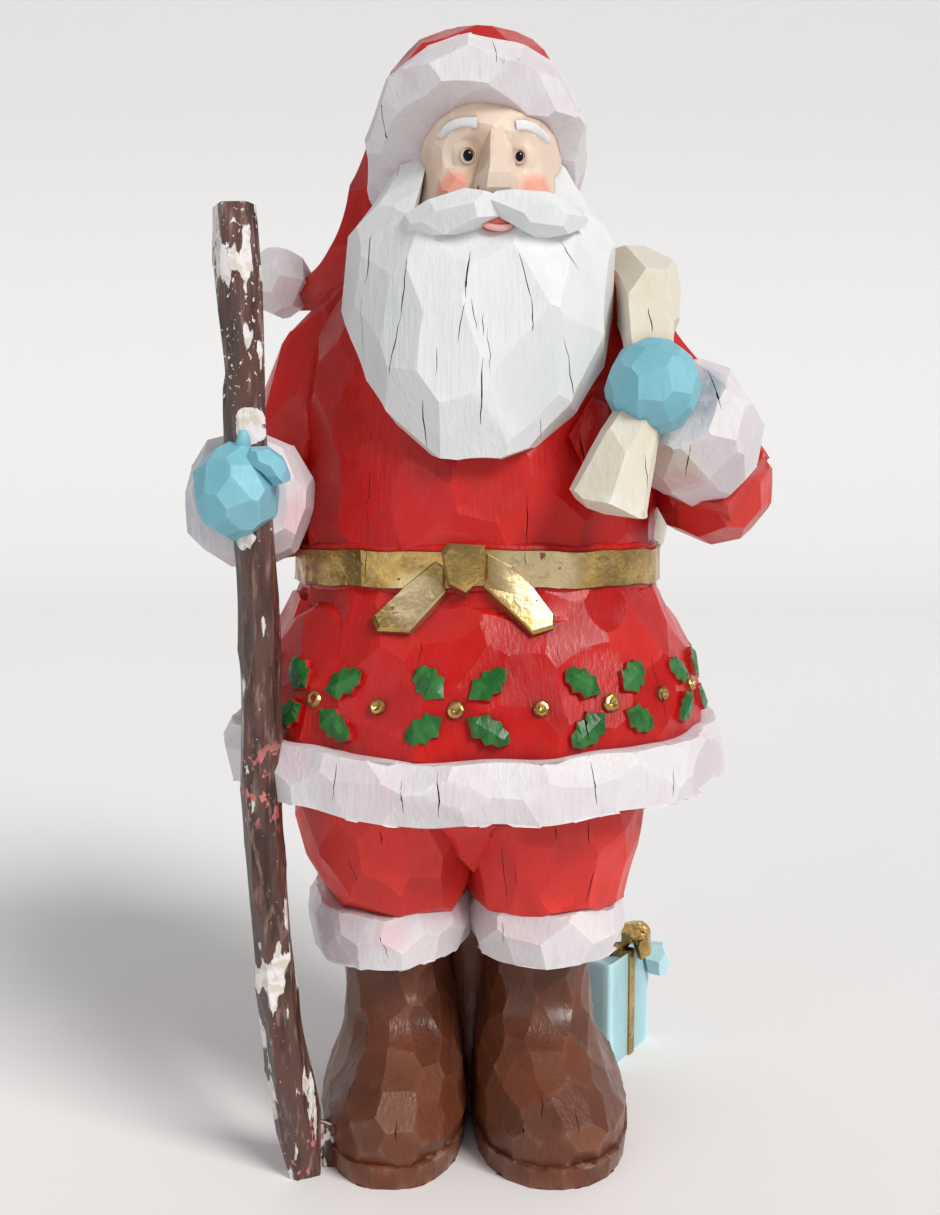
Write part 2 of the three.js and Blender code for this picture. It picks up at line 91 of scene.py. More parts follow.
PAINTS = (
    "coat_red", "trouser_red", "fur_white", "beard_white", "skin", "lip", "mouth_coral",
    "eye_black", "eye_rim", "boot_brown", "gold_leaf", "holly_green", "mitten_blue",
    "sack_cream", "stick_bark", "gift_blue", "crack_dark",
)
PAINT = {name: index for index, name in enumerate(PAINTS)}


class FigureSizes(bpy.types.PropertyGroup):
    """Heights and reliefs that the forms are worked out from"""

    figure_height: bpy.props.FloatProperty(
        name="Figure Height", description="From the ground to the top of the hat",
        default=CAD_BOX[1].z, unit="LENGTH")
    waist_height: bpy.props.FloatProperty(
        name="Waist Height", description="Middle of the belt", default=0.1635, unit="LENGTH")
    belt_width: bpy.props.FloatProperty(
        name="Belt Width", description="Height of the gold belt", default=0.009, unit="LENGTH")
    belt_relief: bpy.props.FloatProperty(
        name="Belt Relief", description="How far the belt stands off the coat",
        default=0.0016, unit="LENGTH")
    hem_height: bpy.props.FloatProperty(
        name="Hem Height", description="Middle of the coat's fur hem", default=0.111, unit="LENGTH")
    hem_band: bpy.props.FloatProperty(
        name="Hem Band", description="Height of the fur hem", default=0.015, unit="LENGTH")
    hem_relief: bpy.props.FloatProperty(
        name="Hem Relief", description="How far the fur stands off the coat",
        default=0.0046, unit="LENGTH")
    hem_sway: bpy.props.FloatProperty(
        name="Hem Sway", description="How much lower the hem hangs in front than at the sides",
        default=0.0036, unit="LENGTH")
    cuff_height: bpy.props.FloatProperty(
        name="Cuff Height", description="Middle of the trousers' fur cuffs",
        default=0.065, unit="LENGTH")
    cuff_edge: bpy.props.FloatProperty(
        name="Cuff Edge", description="Half the height of a trouser cuff",
        default=0.0065, unit="LENGTH")
    sole_thickness: bpy.props.FloatProperty(
        name="Sole Thickness", description="Height of the boots' soles",
        default=0.0068, unit="LENGTH")
    gift_size: bpy.props.FloatProperty(
        name="Gift Size", description="Side of the gift box", default=0.030, unit="LENGTH")
    gift_height: bpy.props.FloatProperty(
        name="Gift Height", description="Height of the gift box", default=0.032, unit="LENGTH")


class KnifeWork(bpy.types.PropertyGroup):
    """Sizes of the knife facets and cracks"""

    broad_cut: bpy.props.FloatProperty(
        name="Broad Cut", description="Facet size on the coat and the sack",
        default=0.017, unit="LENGTH")
    plain_cut: bpy.props.FloatProperty(
        name="Plain Cut", description="Facet size on boots, sleeves, fur and beard",
        default=0.013, unit="LENGTH")
    small_cut: bpy.props.FloatProperty(
        name="Small Cut", description="Facet size on mittens, moustache and pompom",
        default=0.0075, unit="LENGTH")
    face_cut: bpy.props.FloatProperty(
        name="Face Cut", description="Facet size on the face", default=0.0052, unit="LENGTH")
    tilt: bpy.props.FloatProperty(
        name="Tilt", description="How far a cut strays from the surface", default=0.05, unit="ROTATION")
    crack_width: bpy.props.FloatProperty(
        name="Crack Width", description="Width of a drying crack", default=0.00032, unit="LENGTH")
    crack_depth: bpy.props.FloatProperty(
        name="Crack Depth", description="Depth of a drying crack", default=0.0011, unit="LENGTH")


def colour_property(label, about, value):
    return bpy.props.FloatVectorProperty(
        name=label, description=about, default=value, subtype="COLOR", size=3, min=0, max=1)


class FigurePaint(bpy.types.PropertyGroup):
    """Paint colours"""

    red: colour_property("Red", "Coat, sleeves and hat", (0.52, 0.006, 0.004))
    trouser_red: colour_property("Trouser Red", "Trousers", (0.72, 0.036, 0.027))
    white: colour_property("Fur White", "Fur trims", (0.72, 0.685, 0.70))
    beard: colour_property("Beard White", "Beard, brows and moustache", (0.75, 0.755, 0.755))
    skin: colour_property("Skin", "Face", (0.765, 0.62, 0.50))
    cheek: colour_property("Cheek", "Cheeks and lip", (0.82, 0.34, 0.25))
    brown: colour_property("Boot Brown", "Boots", (0.150, 0.042, 0.018))
    gold: colour_property("Gold", "Belt, berries and ribbon", (0.58, 0.375, 0.11))
    green: colour_property("Holly Green", "Leaves", (0.014, 0.140, 0.022))
    blue: colour_property("Mitten Blue", "Mittens", (0.20, 0.50, 0.60))
    cream: colour_property("Sack Cream", "Sack", (0.72, 0.675, 0.575))
    bark: colour_property("Stick Bark", "Walking stick", (0.105, 0.048, 0.038))
    gift: colour_property("Gift Blue", "Gift box", (0.50, 0.80, 0.85))


def sizes():
    """The figure's sizes in millimetres, by name"""
    group = bpy.context.scene.figurine_sizes
    return {key: getattr(group, key) / MILLIMETRE for key in FigureSizes.__annotations__}


def knife():
    """The facet and crack sizes in millimetres, by name, and the tilt in radians"""
    group = bpy.context.scene.figurine_knife
    found = {key: getattr(group, key) / MILLIMETRE for key in KnifeWork.__annotations__}
    found["tilt"] = group.tilt
    return found


class Form:
    """A closed surface in millimetres with a paint number for every face"""

    def __init__(self, points, faces, paint, edge=EDGE):
        self.edge = edge
        self.points = np.asarray(points, float)
        self.faces = np.asarray(faces, int)
        self.paint = np.broadcast_to(PAINT[paint] if isinstance(paint, str) else paint,
                                     len(self.faces)).copy()
        self.tone = np.full(len(self.faces), 0.5)


def on_curve(stations, t):
    """Values on the smooth curve through all stations, t from 0 at the first to 1 at the last"""
    table = np.asarray(stations, float)
    last = len(table) - 1
    place = np.clip(t, 0, 1) * last
    index = np.minimum(place.astype(int), last - 1)
    part = (place - index)[:, None]
    before = table[np.maximum(index - 1, 0)]
    here = table[index]
    there = table[index + 1]
    after = table[np.minimum(index + 2, last)]
    square = 2 * before - 5 * here + 4 * there - after
    cubic = 3 * here - before - 3 * there + after
    return 0.5 * (2 * here + (there - before) * part + square * part**2 + cubic * part**3)


def even_places(stations, edge, columns):
    """Places along the stations that lie an edge apart on the surface"""
    t = np.linspace(0, 1, 600)
    step = np.diff(on_curve(stations, t)[:, columns], axis=0)
    length = np.concatenate([[0], np.cumsum(np.linalg.norm(step, axis=1))])
    rows = max(4, int(round(length[-1] / edge)))
    return np.interp(np.linspace(0, length[-1], rows + 1), length, t)


def skin(rings, edge, paint):
    """A closed form over rings of points, with a fine grid on its two ends too"""
    def end_rings(ring):
        centre = ring.mean(axis=0)
        reach = np.linalg.norm(ring - centre, axis=1).max()
        steps = max(2, int(reach / edge))
        return [centre + (ring - centre) * (step / steps) for step in range(1, steps)], centre

    lower, bottom = end_rings(rings[0])
    upper, top = end_rings(rings[-1])
    rings = [*lower, *rings, *upper[::-1]]
    count, sides = len(rings), len(rings[0])
    row, side = np.meshgrid(np.arange(count - 1), np.arange(sides), indexing="ij")
    a = (row * sides + side).ravel()
    b = (row * sides + (side + 1) % sides).ravel()
    c, d = a + sides, b + sides
    even = ((row + side) % 2 == 0).ravel()
    first = np.where(even[:, None], np.stack([a, b, d], 1), np.stack([a, b, c], 1))
    second = np.where(even[:, None], np.stack([a, d, c], 1), np.stack([b, d, c], 1))
    around = np.arange(sides)
    following = (around + 1) % sides
    low_end = np.stack([np.full(sides, count * sides), following, around], 1)
    high = (count - 1) * sides
    high_end = np.stack([np.full(sides, count * sides + 1), high + around, high + following], 1)
    points = np.concatenate([*rings, [bottom], [top]])
    return Form(points, np.concatenate([first, second, low_end, high_end]), paint, edge)


def superellipse(angle, half_width, front, back, square):
    """A ring's outline: square 2 is an ellipse, more is boxier"""
    c, s = np.cos(angle), np.sin(angle)
    power = 2 / square
    depth = np.where(s < 0, front, back)
    return half_width * np.sign(c) * np.abs(c)**power, depth * np.sign(s) * np.abs(s)**power


def upright(stations, paint, square=2.2, edge=EDGE, sway=None):
    """A form through level rings. Stations: height, centre x and y, half width, front, back"""
    t = even_places(stations, edge, [0, 3, 4])
    z, x, y, half_width, front, back = (value[:, None] for value in on_curve(stations, t).T)
    around = math.pi * (half_width.max() + (front.max() + back.max()) / 2)
    sides = max(12, int(around / edge))
    angle = (np.arange(sides) / sides * 2 * math.pi)[None, :]
    u, v = superellipse(angle, half_width, front, back, square)
    lift = sway(angle, z) if sway else 0 * u
    return skin(np.stack([x + u, y + v, z + lift], -1), edge, paint)


def limb(stations, paint, up=(0, 0, 1), edge=EDGE, square=2.0):
    """A form along a bent line. Stations: x, y, z, radius across, radius along the other side"""
    stations = [(*row, row[3]) if len(row) == 4 else row for row in stations]
    t = even_places(stations, edge, [0, 1, 2, 3])
    table = on_curve(stations, t)
    step = 0.02
    ahead = on_curve(stations, np.minimum(t + step, 1)) - on_curve(stations, np.maximum(t - step, 0))
    direction = ahead[:, :3] / np.linalg.norm(ahead[:, :3], axis=1)[:, None]
    across = np.cross(np.asarray(up, float), direction)
    across /= np.linalg.norm(across, axis=1)[:, None]
    along = np.cross(direction, across)
    sides = max(12, int(math.pi * (table[:, 3].max() + table[:, 4].max()) / edge))
    angle = np.arange(sides) / sides * 2 * math.pi
    u, v = superellipse(angle[None, :], table[:, 3:4], table[:, 4:5], table[:, 4:5], square)
    rings = table[:, None, :3] + u[..., None] * across[:, None] + v[..., None] * along[:, None]
    return skin(rings, edge, paint)


def ball(centre, radii, paint, edge=EDGE):
    """An ellipsoid over rings from its lowest to its highest point"""
    rows = max(8, int(math.pi * max(radii) / edge))
    sides = max(12, int(2 * math.pi * max(radii) / edge))
    turn = (np.arange(1, rows) / rows * math.pi)[:, None]
    angle = (np.arange(sides) / sides * 2 * math.pi)[None, :]
    unit = np.stack([np.sin(turn) * np.cos(angle), np.sin(turn) * np.sin(angle),
                     -np.cos(turn) + 0 * angle], -1)
    return skin(unit * radii + centre, edge, paint)


def nearest(features, hubs):
    """The number of the nearest hub for every feature"""
    owner = np.empty(len(features), int)
    length = (hubs**2).sum(axis=1)
    chunk = 20000
    for start in range(0, len(features), chunk):
        part = features[start:start + chunk]
        owner[start:start + chunk] = (length - 2 * part @ hubs.T).argmin(axis=1)
    return owner


def scatter(places, random):
    """Faces spread over a form, about a unit apart"""
    chosen = np.empty((0, 3))
    picked = []
    for face in random.permutation(len(places))[:6000]:
        gap = 0.7 + 0.5 * random.random()
        if len(chosen) == 0 or ((chosen - places[face])**2).sum(axis=1).min() > gap * gap:
            chosen = np.vstack([chosen, places[face]])
            picked.append(face)
    return picked


def corner_normals(form):
    """Unit normals at a form's points"""
    corners = form.points[form.faces]
    cross = np.cross(corners[:, 1] - corners[:, 0], corners[:, 2] - corners[:, 0])
    cross /= np.sqrt(np.linalg.norm(cross, axis=1))[:, None] + TINY
    normal = np.stack([np.bincount(form.faces.ravel(), np.repeat(cross[:, k], 3), len(form.points))
                       for k in range(3)], 1)
    return normal / (np.linalg.norm(normal, axis=1)[:, None] + TINY)


def knife_cuts(form, cut, random, tilt, stretch, deep, level):
    """Cuts over a form, each about a cut wide: middles, normals and how they are scooped"""
    corners = form.points[form.faces]
    centre = corners.mean(axis=1)
    cross = np.cross(corners[:, 1] - corners[:, 0], corners[:, 2] - corners[:, 0])
    area = np.linalg.norm(cross, axis=1) + TINY
    if level:
        side = np.abs(cross[:, 2]) < 0.85 * area
        centre, cross, area = centre[side], cross[side], area[side]
    features = np.hstack([centre * stretch / cut, cross / area[:, None] * TURN_WEIGHT])
    hubs = features[scatter(features[:, :3], random)]
    count = len(hubs)
    for _ in range(4):
        owner = nearest(features, hubs)
        weight = np.bincount(owner, area, count) + TINY
        mean = [np.bincount(owner, area * features[:, k], count) / weight for k in range(6)]
        hubs = np.stack(mean, 1)
        turn = hubs[:, 3:] / (np.linalg.norm(hubs[:, 3:], axis=1)[:, None] + TINY)
        hubs[:, 3:] = turn * TURN_WEIGHT
    owner = nearest(features, hubs)
    weight = np.bincount(owner, area, count) + TINY
    middle = np.stack([np.bincount(owner, area * centre[:, k], count) / weight for k in range(3)], 1)
    normal = np.stack([np.bincount(owner, cross[:, k], count) for k in range(3)], 1)
    normal /= np.linalg.norm(normal, axis=1)[:, None] + TINY

    scoop = np.zeros((count, 3, 3))
    order = np.argsort(owner, kind="stable")
    bounds = np.searchsorted(owner[order], np.arange(count + 1))
    for number in range(count):
        inside = order[bounds[number]:bounds[number + 1]]
        side = np.cross(normal[number], [0, 0, 1] if abs(normal[number][2]) < 0.8 else [1, 0, 0])
        side /= np.linalg.norm(side) + TINY
        frame_here = np.stack([side, np.cross(normal[number], side)])
        bend = np.zeros((2, 2))
        if len(inside) > 14:
            off = centre[inside] - middle[number]
            a, b = frame_here @ off.T
            design = np.stack([np.ones_like(a), a, b, a * a, a * b, b * b], 1)
            found = np.linalg.lstsq(design, off @ normal[number], rcond=None)[0]
            bend = np.array([[found[3], found[4] / 2], [found[4] / 2, found[5]]])
        value, vector = np.linalg.eigh(bend)
        for k in range(2):
            way = vector[:, k] @ frame_here
            margin = MARGIN * tilt / cut * ((way * stretch)**2).sum()
            scoop[number] += max(0, value[k] + margin) * np.outer(way, way)
    normal += random.normal(0, tilt, normal.shape)
    normal /= np.linalg.norm(normal, axis=1)[:, None]
    return Cuts(middle, normal, scoop, cut, stretch, deep * cut)


class Cuts:
    """The scooped planes that a form is cut to, by number"""

    def __init__(self, middle, normal, scoop, cut, stretch, deep):
        self.middle, self.normal, self.scoop = middle, normal, scoop
        self.cut, self.stretch, self.deep = cut, stretch, deep

    def travel(self, rise, flat, facing, reach):
        """How far a point goes to a cut, with forfeits for cuts that are far away or would go too deep"""
        away = np.maximum(0, np.sqrt(np.maximum(reach, 0)) / self.cut - 0.9)
        ahead = np.where(facing > 0.2, (rise - flat) / np.maximum(facing, 0.4), OUT_OF_REACH)
        return ahead + 0.5 * self.cut * away**2 + 3 * np.maximum(0, -self.deep - ahead)

    def to(self, points, ways, which):
        """How far points go along their ways to the cuts numbered which"""
        off, normal = points - self.middle[which], self.normal[which]
        rise = np.einsum("ki,kij,kj->k", off, self.scoop[which], off)
        return self.travel(rise, (off * normal).sum(axis=1), (ways * normal).sum(axis=1),
                           ((off * self.stretch)**2).sum(axis=1))

    def deepest(self, points, ways):
        """The number of the cut that goes deepest at every point"""
        pairs = [(0, 0), (0, 1), (0, 2), (1, 1), (1, 2), (2, 2)]
        squares = np.stack([self.scoop[:, i, j] * (1 if i == j else 2) for i, j in pairs])
        linear = np.einsum("kij,kj->ki", self.scoop, self.middle)
        constant = (linear * self.middle).sum(axis=1)
        near_middle = self.middle * self.stretch
        found = np.empty(len(points), int)
        chunk = 8000
        for start in range(0, len(points), chunk):
            point, way = points[start:start + chunk], ways[start:start + chunk]
            rise = np.stack([point[:, i] * point[:, j] for i, j in pairs], 1) @ squares
            rise += constant - 2 * point @ linear.T
            flat = point @ self.normal.T - (self.middle * self.normal).sum(axis=1)
            near_point = point * self.stretch
            reach = (near_point**2).sum(axis=1)[:, None] - 2 * near_point @ near_middle.T
            reach += (near_middle**2).sum(axis=1)
            found[start:start + chunk] = self.travel(rise, flat, way @ self.normal.T, reach).argmin(axis=1)
        return found


def carve(form, cut, seed, tilt=None, stretch=(1, 1, 1), deep=0.2, level=False):
    """Cuts a form down to facets. At every point the deepest of the near cuts counts, and faces are
    split where two cuts meet, so facets end in clean ridges. A level form is cut on its sides only,
    and keeps the heights of its edges."""
    random = np.random.default_rng(seed)
    tilt = knife()["tilt"] if tilt is None else tilt
    cuts = knife_cuts(form, cut, random, tilt, np.asarray(stretch, float), deep, level)
    way = corner_normals(form)
    if level:
        way[:, 2] = 0
        size = np.linalg.norm(way, axis=1)[:, None]
        way = np.where(size > 0.3, way / (size + TINY), 0)
    owner = cuts.deepest(form.points, way)

    def moved(points, ways, *groups):
        height = sum(cuts.to(points, ways, which) for which in groups) / len(groups)
        return points + ways * np.clip(height, -deep * cut, deep * cut)[:, None]

    def blend(corners, shares):
        """Points and ways between corners, each corner with its share"""
        points = sum(form.points[corner] * share[:, None] for corner, share in zip(corners, shares))
        ways = sum(way[corner] * share[:, None] for corner, share in zip(corners, shares))
        return points, ways / (np.linalg.norm(ways, axis=1)[:, None] + TINY)

    count, faces = len(form.points), form.faces
    ends = np.sort(np.stack([faces, np.roll(faces, -1, 1)]), axis=0)
    edges, number = np.unique(ends[0] * count + ends[1], return_inverse=True)
    number = number.reshape(faces.shape)
    low, high = edges // count, edges % count
    crossing = owner[low] != owner[high]
    added = np.full(len(edges), -1)
    added[crossing] = count + np.arange(crossing.sum())
    low, high = low[crossing], high[crossing]
    limit = 3 * form.edge

    def lead(share):
        """By how much the cut of an edge's first end goes less deep than that of its last"""
        at = blend((low, high), (1 - share, share))
        return np.clip(cuts.to(*at, owner[low]) - cuts.to(*at, owner[high]), -limit, limit)

    start, stop = lead(np.zeros(len(low))), lead(np.ones(len(low)))
    share = np.clip(start / (start - stop - TINY), 0.02, 0.98)
    here = lead(share)
    share = np.where(here < 0, share + (1 - share) * here / (here - stop - TINY),
                     share * start / (start - here - TINY))
    share = np.clip(share, 0.02, 0.98)
    on_ridge = moved(*blend((low, high), (1 - share, share)), owner[low], owner[high])

    split = crossing[number]
    corner_owner = owner[faces]
    triple = split.all(axis=1)
    three = faces[triple]
    shares = meeting_shares(cuts, form.points, way, three, owner, limit)
    centres = moved(*blend(three.T, shares.T), *owner[three].T)
    centre_number = count + len(low) + np.arange(len(three))

    pieces = [(faces[~split.any(axis=1)], np.flatnonzero(~split.any(axis=1)),
               corner_owner[~split.any(axis=1), 0])]
    for first in range(3):
        second, third = (first + 1) % 3, (first + 2) % 3
        odd = np.flatnonzero(split[:, first] & split[:, third] & ~split[:, second])
        a, b, c = faces[odd, first], faces[odd, second], faces[odd, third]
        near, far = added[number[odd, first]], added[number[odd, third]]
        own, other = corner_owner[odd, first], corner_owner[odd, second]
        pieces += [(np.stack([a, near, far], 1), odd, own), (np.stack([near, b, c], 1), odd, other),
                   (np.stack([near, c, far], 1), odd, other)]
        odd = np.flatnonzero(triple)
        a, own = faces[odd, first], corner_owner[odd, first]
        near, far = added[number[odd, first]], added[number[odd, third]]
        pieces += [(np.stack([a, near, centre_number], 1), odd, own),
                   (np.stack([far, a, centre_number], 1), odd, own)]
    form.points = np.concatenate([moved(form.points, way, owner), on_ridge, centres])
    form.faces = np.concatenate([piece[0] for piece in pieces])
    form.paint = form.paint[np.concatenate([piece[1] for piece in pieces])]
    tones = random.random(len(cuts.middle))
    form.tone = tones[np.concatenate([piece[2] for piece in pieces])]
    return form


def meeting_shares(cuts, points, ways, faces, owner, limit):
    """Each corner's share in the point of a face where the cuts of its three corners meet"""
    lead = np.zeros((len(faces), 2, 3))
    for corner in range(3):
        at = points[faces[:, corner]], ways[faces[:, corner]]
        depth = [cuts.to(*at, owner[faces[:, k]]) for k in range(3)]
        for row in range(2):
            lead[:, row, corner] = np.clip(depth[0] - depth[row + 1], -limit, limit)
    cross = np.cross(lead[:, 0], lead[:, 1])
    total = cross.sum(axis=1)[:, None]
    shares = cross / np.where(np.abs(total) > TINY, total, 1)
    shares = np.where(np.abs(total) > TINY, np.clip(shares, 0.06, 1), 1 / 3)
    return shares / shares.sum(axis=1)[:, None]


def neighbours(faces, count):
    """Pairs of points joined by an edge, both ways, and how many each point has"""
    edges = np.concatenate([faces[:, [0, 1]], faces[:, [1, 2]], faces[:, [2, 0]]])
    return edges[:, 0], edges[:, 1], np.bincount(edges[:, 0], minlength=count)


def smooth(form, share, rounds=1):
    """Moves every point by a share of the way to the middle of its neighbours"""
    here, there, number = neighbours(form.faces, len(form.points))
    for _ in range(rounds):
        total = np.stack([np.bincount(here, form.points[there, k], len(form.points))
                          for k in range(3)], 1)
        form.points += share * (total / number[:, None] - form.points)


def wobble(form, size, depth, seed, stretch=(1, 1, 1)):
    """Small uneven waves in a form's surface"""
    random = np.random.default_rng(seed)
    offset = np.zeros(len(form.points))
    for _ in range(6):
        direction = random.normal(size=3) * np.asarray(stretch)
        direction *= 2 * math.pi / (size * np.linalg.norm(direction)) * random.uniform(0.6, 1.4)
        offset += np.sin(form.points @ direction + random.uniform(0, 6.28))
    corners = form.points[form.faces]
    cross = np.cross(corners[:, 1] - corners[:, 0], corners[:, 2] - corners[:, 0])
    normal = np.stack([np.bincount(form.faces.ravel(), np.repeat(cross[:, k], 3), len(form.points))
                       for k in range(3)], 1)
    normal /= np.linalg.norm(normal, axis=1)[:, None] + TINY
    form.points += normal * (offset * depth / 2.4)[:, None]
    return form


def plate(outline, place, paints, rim, crown, sink=3.0, bevel=0.35, inset=0.12):
    """A raised patch: its outline's sides, a small bevel and a top that rises to the middle"""
    outline = np.asarray(outline, float)
    middle = outline.mean(axis=0)
    inner = middle + (outline - middle) * (1 - inset)
    rings = [(outline, -sink), (outline, rim - bevel), (inner, rim)]
    points = [place(u, v, h) for ring, h in rings for u, v in ring]
    points += [place(*middle, -sink), place(*middle, crown)]
    count = len(outline)
    faces, paint = [], []
    for i in range(count):
        j = (i + 1) % count
        for level in range(2):
            low, high = level * count, (level + 1) * count
            faces += [(low + i, low + j, high + i), (high + i, low + j, high + j)]
            paint += [paints[level]] * 2
        faces += [(3 * count, j, i), (3 * count + 1, 2 * count + i, 2 * count + j)]
        paint += [paints[0], paints[1]]
    return Form(points, faces, np.array([PAINT[name] for name in paint]))


def merge(forms):
    """Several forms as one, for those that don't touch"""
    start = np.cumsum([0] + [len(form.points) for form in forms[:-1]])
    faces = [form.faces + first for form, first in zip(forms, start)]
    whole = Form(np.concatenate([form.points for form in forms]), np.concatenate(faces),
                 np.concatenate([form.paint for form in forms]))
    whole.tone = np.concatenate([form.tone for form in forms])
    return whole


def to_object(name, form):
    """A mesh object of a form, in metres in the frame and inside the CAD solid's box"""
    mesh = bpy.data.meshes.new(name)
    count = len(form.faces)
    mesh.vertices.add(len(form.points))
    low, high = (np.array(corner) for corner in CAD_BOX)
    places = np.clip((form.points + FIGURE_SHIFT) * MILLIMETRE, low, high)
    mesh.vertices.foreach_set("co", places.astype(np.float32).ravel())
    mesh.loops.add(3 * count)
    mesh.loops.foreach_set("vertex_index", form.faces.astype(np.int32).ravel())
    mesh.polygons.add(count)
    mesh.polygons.foreach_set("loop_start", np.arange(0, 3 * count, 3, dtype=np.int32))
    mesh.polygons.foreach_set("material_index", form.paint.astype(np.int32))
    mesh.attributes.new("tone", "FLOAT", "FACE").data.foreach_set("value", form.tone.astype(np.float32))
    mesh.update(calc_edges=True)
    mesh.validate()
    for paint in PAINTS:
        mesh.materials.append(bpy.data.materials[paint])
    obj = bpy.data.objects.new(name, mesh)
    bpy.context.scene.collection.objects.link(obj)
    return obj


def applied(obj):
    """Replaces an object's mesh by the one that its modifiers make"""
    evaluated = obj.evaluated_get(bpy.context.evaluated_depsgraph_get())
    mesh = bpy.data.meshes.new_from_object(evaluated)
    obj.modifiers.clear()
    old = obj.data
    obj.data = mesh
    bpy.data.meshes.remove(old)


def combine(base, others, operation):
    """Joins the others to the base, or cuts them from it, and removes them"""
    for other in others:
        modifier = base.modifiers.new(other.name, "BOOLEAN")
        modifier.solver = "MANIFOLD"
        modifier.operation = operation
        modifier.object = other
    applied(base)
    for other in others:
        bpy.data.objects.remove(other)


def finish_piece(name, forms, cracks=(), hollows=(), over=()):
    """Joins forms into one closed piece, takes the hollows out of them, lays the forms that come
    over the hollows, cuts the cracks and gives the piece its place in the frame"""
    def as_objects(kind, group):
        return [to_object(f"{name}_{kind}_{number}", form) for number, form in enumerate(group)]

    parts = as_objects("part", forms)
    piece = parts[0]
    piece.name = name
    combine(piece, parts[1:], "UNION")
    if hollows:
        combine(piece, as_objects("hollow", hollows), "DIFFERENCE")
    if over:
        combine(piece, as_objects("over", over), "UNION")
    if cracks:
        tree = BVHTree.FromObject(piece, bpy.context.evaluated_depsgraph_get())
        blades = [blade for number, crack in enumerate(cracks)
                  for blade in crack_blades(tree, crack, 1000 + number)]
        if blades:
            combine(piece, [to_object(f"{name}_cracks", merge(blades))], "DIFFERENCE")
    piece.data.name = name
    shade(piece)
    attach(piece, BODY)
    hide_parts(NODE)
    return piece


SHARP_ANGLE = math.radians(12)


def shade(piece):
    """Smooth shading with sharp seams, and attributes for ridges, hollows and seams, from which the paints lighten
    ridges as wear and painted highlight, darken hollows as painted shade, and darken seams as dark joints and
    painted shade
    """
    mesh = piece.data
    mesh.shade_smooth()
    mesh.set_sharp_from_angle(angle=SHARP_ANGLE)
    count = len(mesh.vertices)
    co = np.empty(count * 3, np.float32)
    mesh.vertices.foreach_get("co", co)
    co = co.reshape(-1, 3) / MILLIMETRE
    normal = np.empty(count * 3, np.float32)
    mesh.vertex_normals.foreach_get("vector", normal)
    normal = normal.reshape(-1, 3)
    edge = np.empty(len(mesh.edges) * 2, np.int32)
    mesh.edges.foreach_get("vertices", edge)
    edge = edge.reshape(-1, 2)
    here = np.concatenate([edge[:, 0], edge[:, 1]])
    there = np.concatenate([edge[:, 1], edge[:, 0]])
    loops = np.empty(len(mesh.loops), np.int32)
    mesh.loops.foreach_get("vertex_index", loops)
    total = np.empty(len(mesh.polygons), np.int32)
    mesh.polygons.foreach_get("loop_total", total)
    paint = np.empty(len(mesh.polygons), np.int32)
    mesh.polygons.foreach_get("material_index", paint)
    loop_paint = np.repeat(paint, total)
    cracked = np.zeros(count, bool)
    cracked[loops[loop_paint == PAINT["crack_dark"]]] = True
    sound = ~(cracked[here] | cracked[there])
    here, there = here[sound], there[sound]
    number = np.bincount(here, minlength=count) + TINY
    span = co[there] - co[here]
    slope = (span * normal[here]).sum(axis=1) / (np.linalg.norm(span, axis=1) + 0.05)
    bend = -np.bincount(here, slope, count) / number
    for _ in range(2):
        bend = 0.5 * bend + 0.5 * np.bincount(here, bend[there], count) / number

    lowest = np.full(count, 99)
    highest = np.zeros(count, int)
    plain = loop_paint != PAINT["crack_dark"]
    np.minimum.at(lowest, loops[plain], loop_paint[plain])
    np.maximum.at(highest, loops[plain], loop_paint[plain])
    seam = (lowest != highest).astype(float)
    for _ in range(3):
        seam = np.maximum(seam, 0.8 * np.bincount(here, seam[there], count) / number + 0.2 * seam)
        seam = np.clip(seam * 1.05, 0, 1)
    for label, values in (("ridge", np.clip(bend * 4, 0, 1)), ("hollow", np.clip(-bend * 4, 0, 1)),
                          ("seam", seam)):
        attribute = mesh.attributes.new(label, "FLOAT", "POINT")
        attribute.data.foreach_set("value", values.astype(np.float32))


def crack_blades(tree, crack, seed):
    """Thin wedges along a crack. A crack: its upper and lower x and z, width and depth factors,
    and the side that it is seen from, 1 for the front and -1 for the back"""
    x0, z0, x1, z1, wide, side = crack
    random = np.random.default_rng(seed)
    cut = knife()
    length = math.hypot(x1 - x0, z1 - z0)
    steps = max(5, int(length / 2.2))
    share = np.linspace(0, 1, steps + 1)
    stray = np.cumsum(random.normal(0, 0.16, steps + 1))
    stray -= np.linspace(stray[0], stray[-1], steps + 1)
    rows, blades = [], []

    def close():
        if len(rows) > 2:
            blades.append(wedge(rows))
        rows.clear()

    last_y = None
    for t, bend in zip(share, stray):
        x, z = x0 + (x1 - x0) * t + bend, z0 + (z1 - z0) * t
        start = (np.array([x, -300.0 * side, z]) + FIGURE_SHIFT) * MILLIMETRE
        hit, normal, _, _ = tree.ray_cast(Vector(start), Vector((0, side, 0)))
        if hit is None or (last_y is not None and abs(hit.y - last_y) > 0.0035):
            close()
            last_y = None if hit is None else hit.y
            continue
        last_y = hit.y
        swell = math.sin(math.pi * min(max(t, 0.04), 0.96))**0.6 * random.uniform(0.7, 1.2)
        point = np.array(hit) / MILLIMETRE - FIGURE_SHIFT
        rows.append((point, np.array(normal), cut["crack_width"] * wide * swell,
                     cut["crack_depth"] * min(wide, 1.3) * swell))
    close()
    return blades


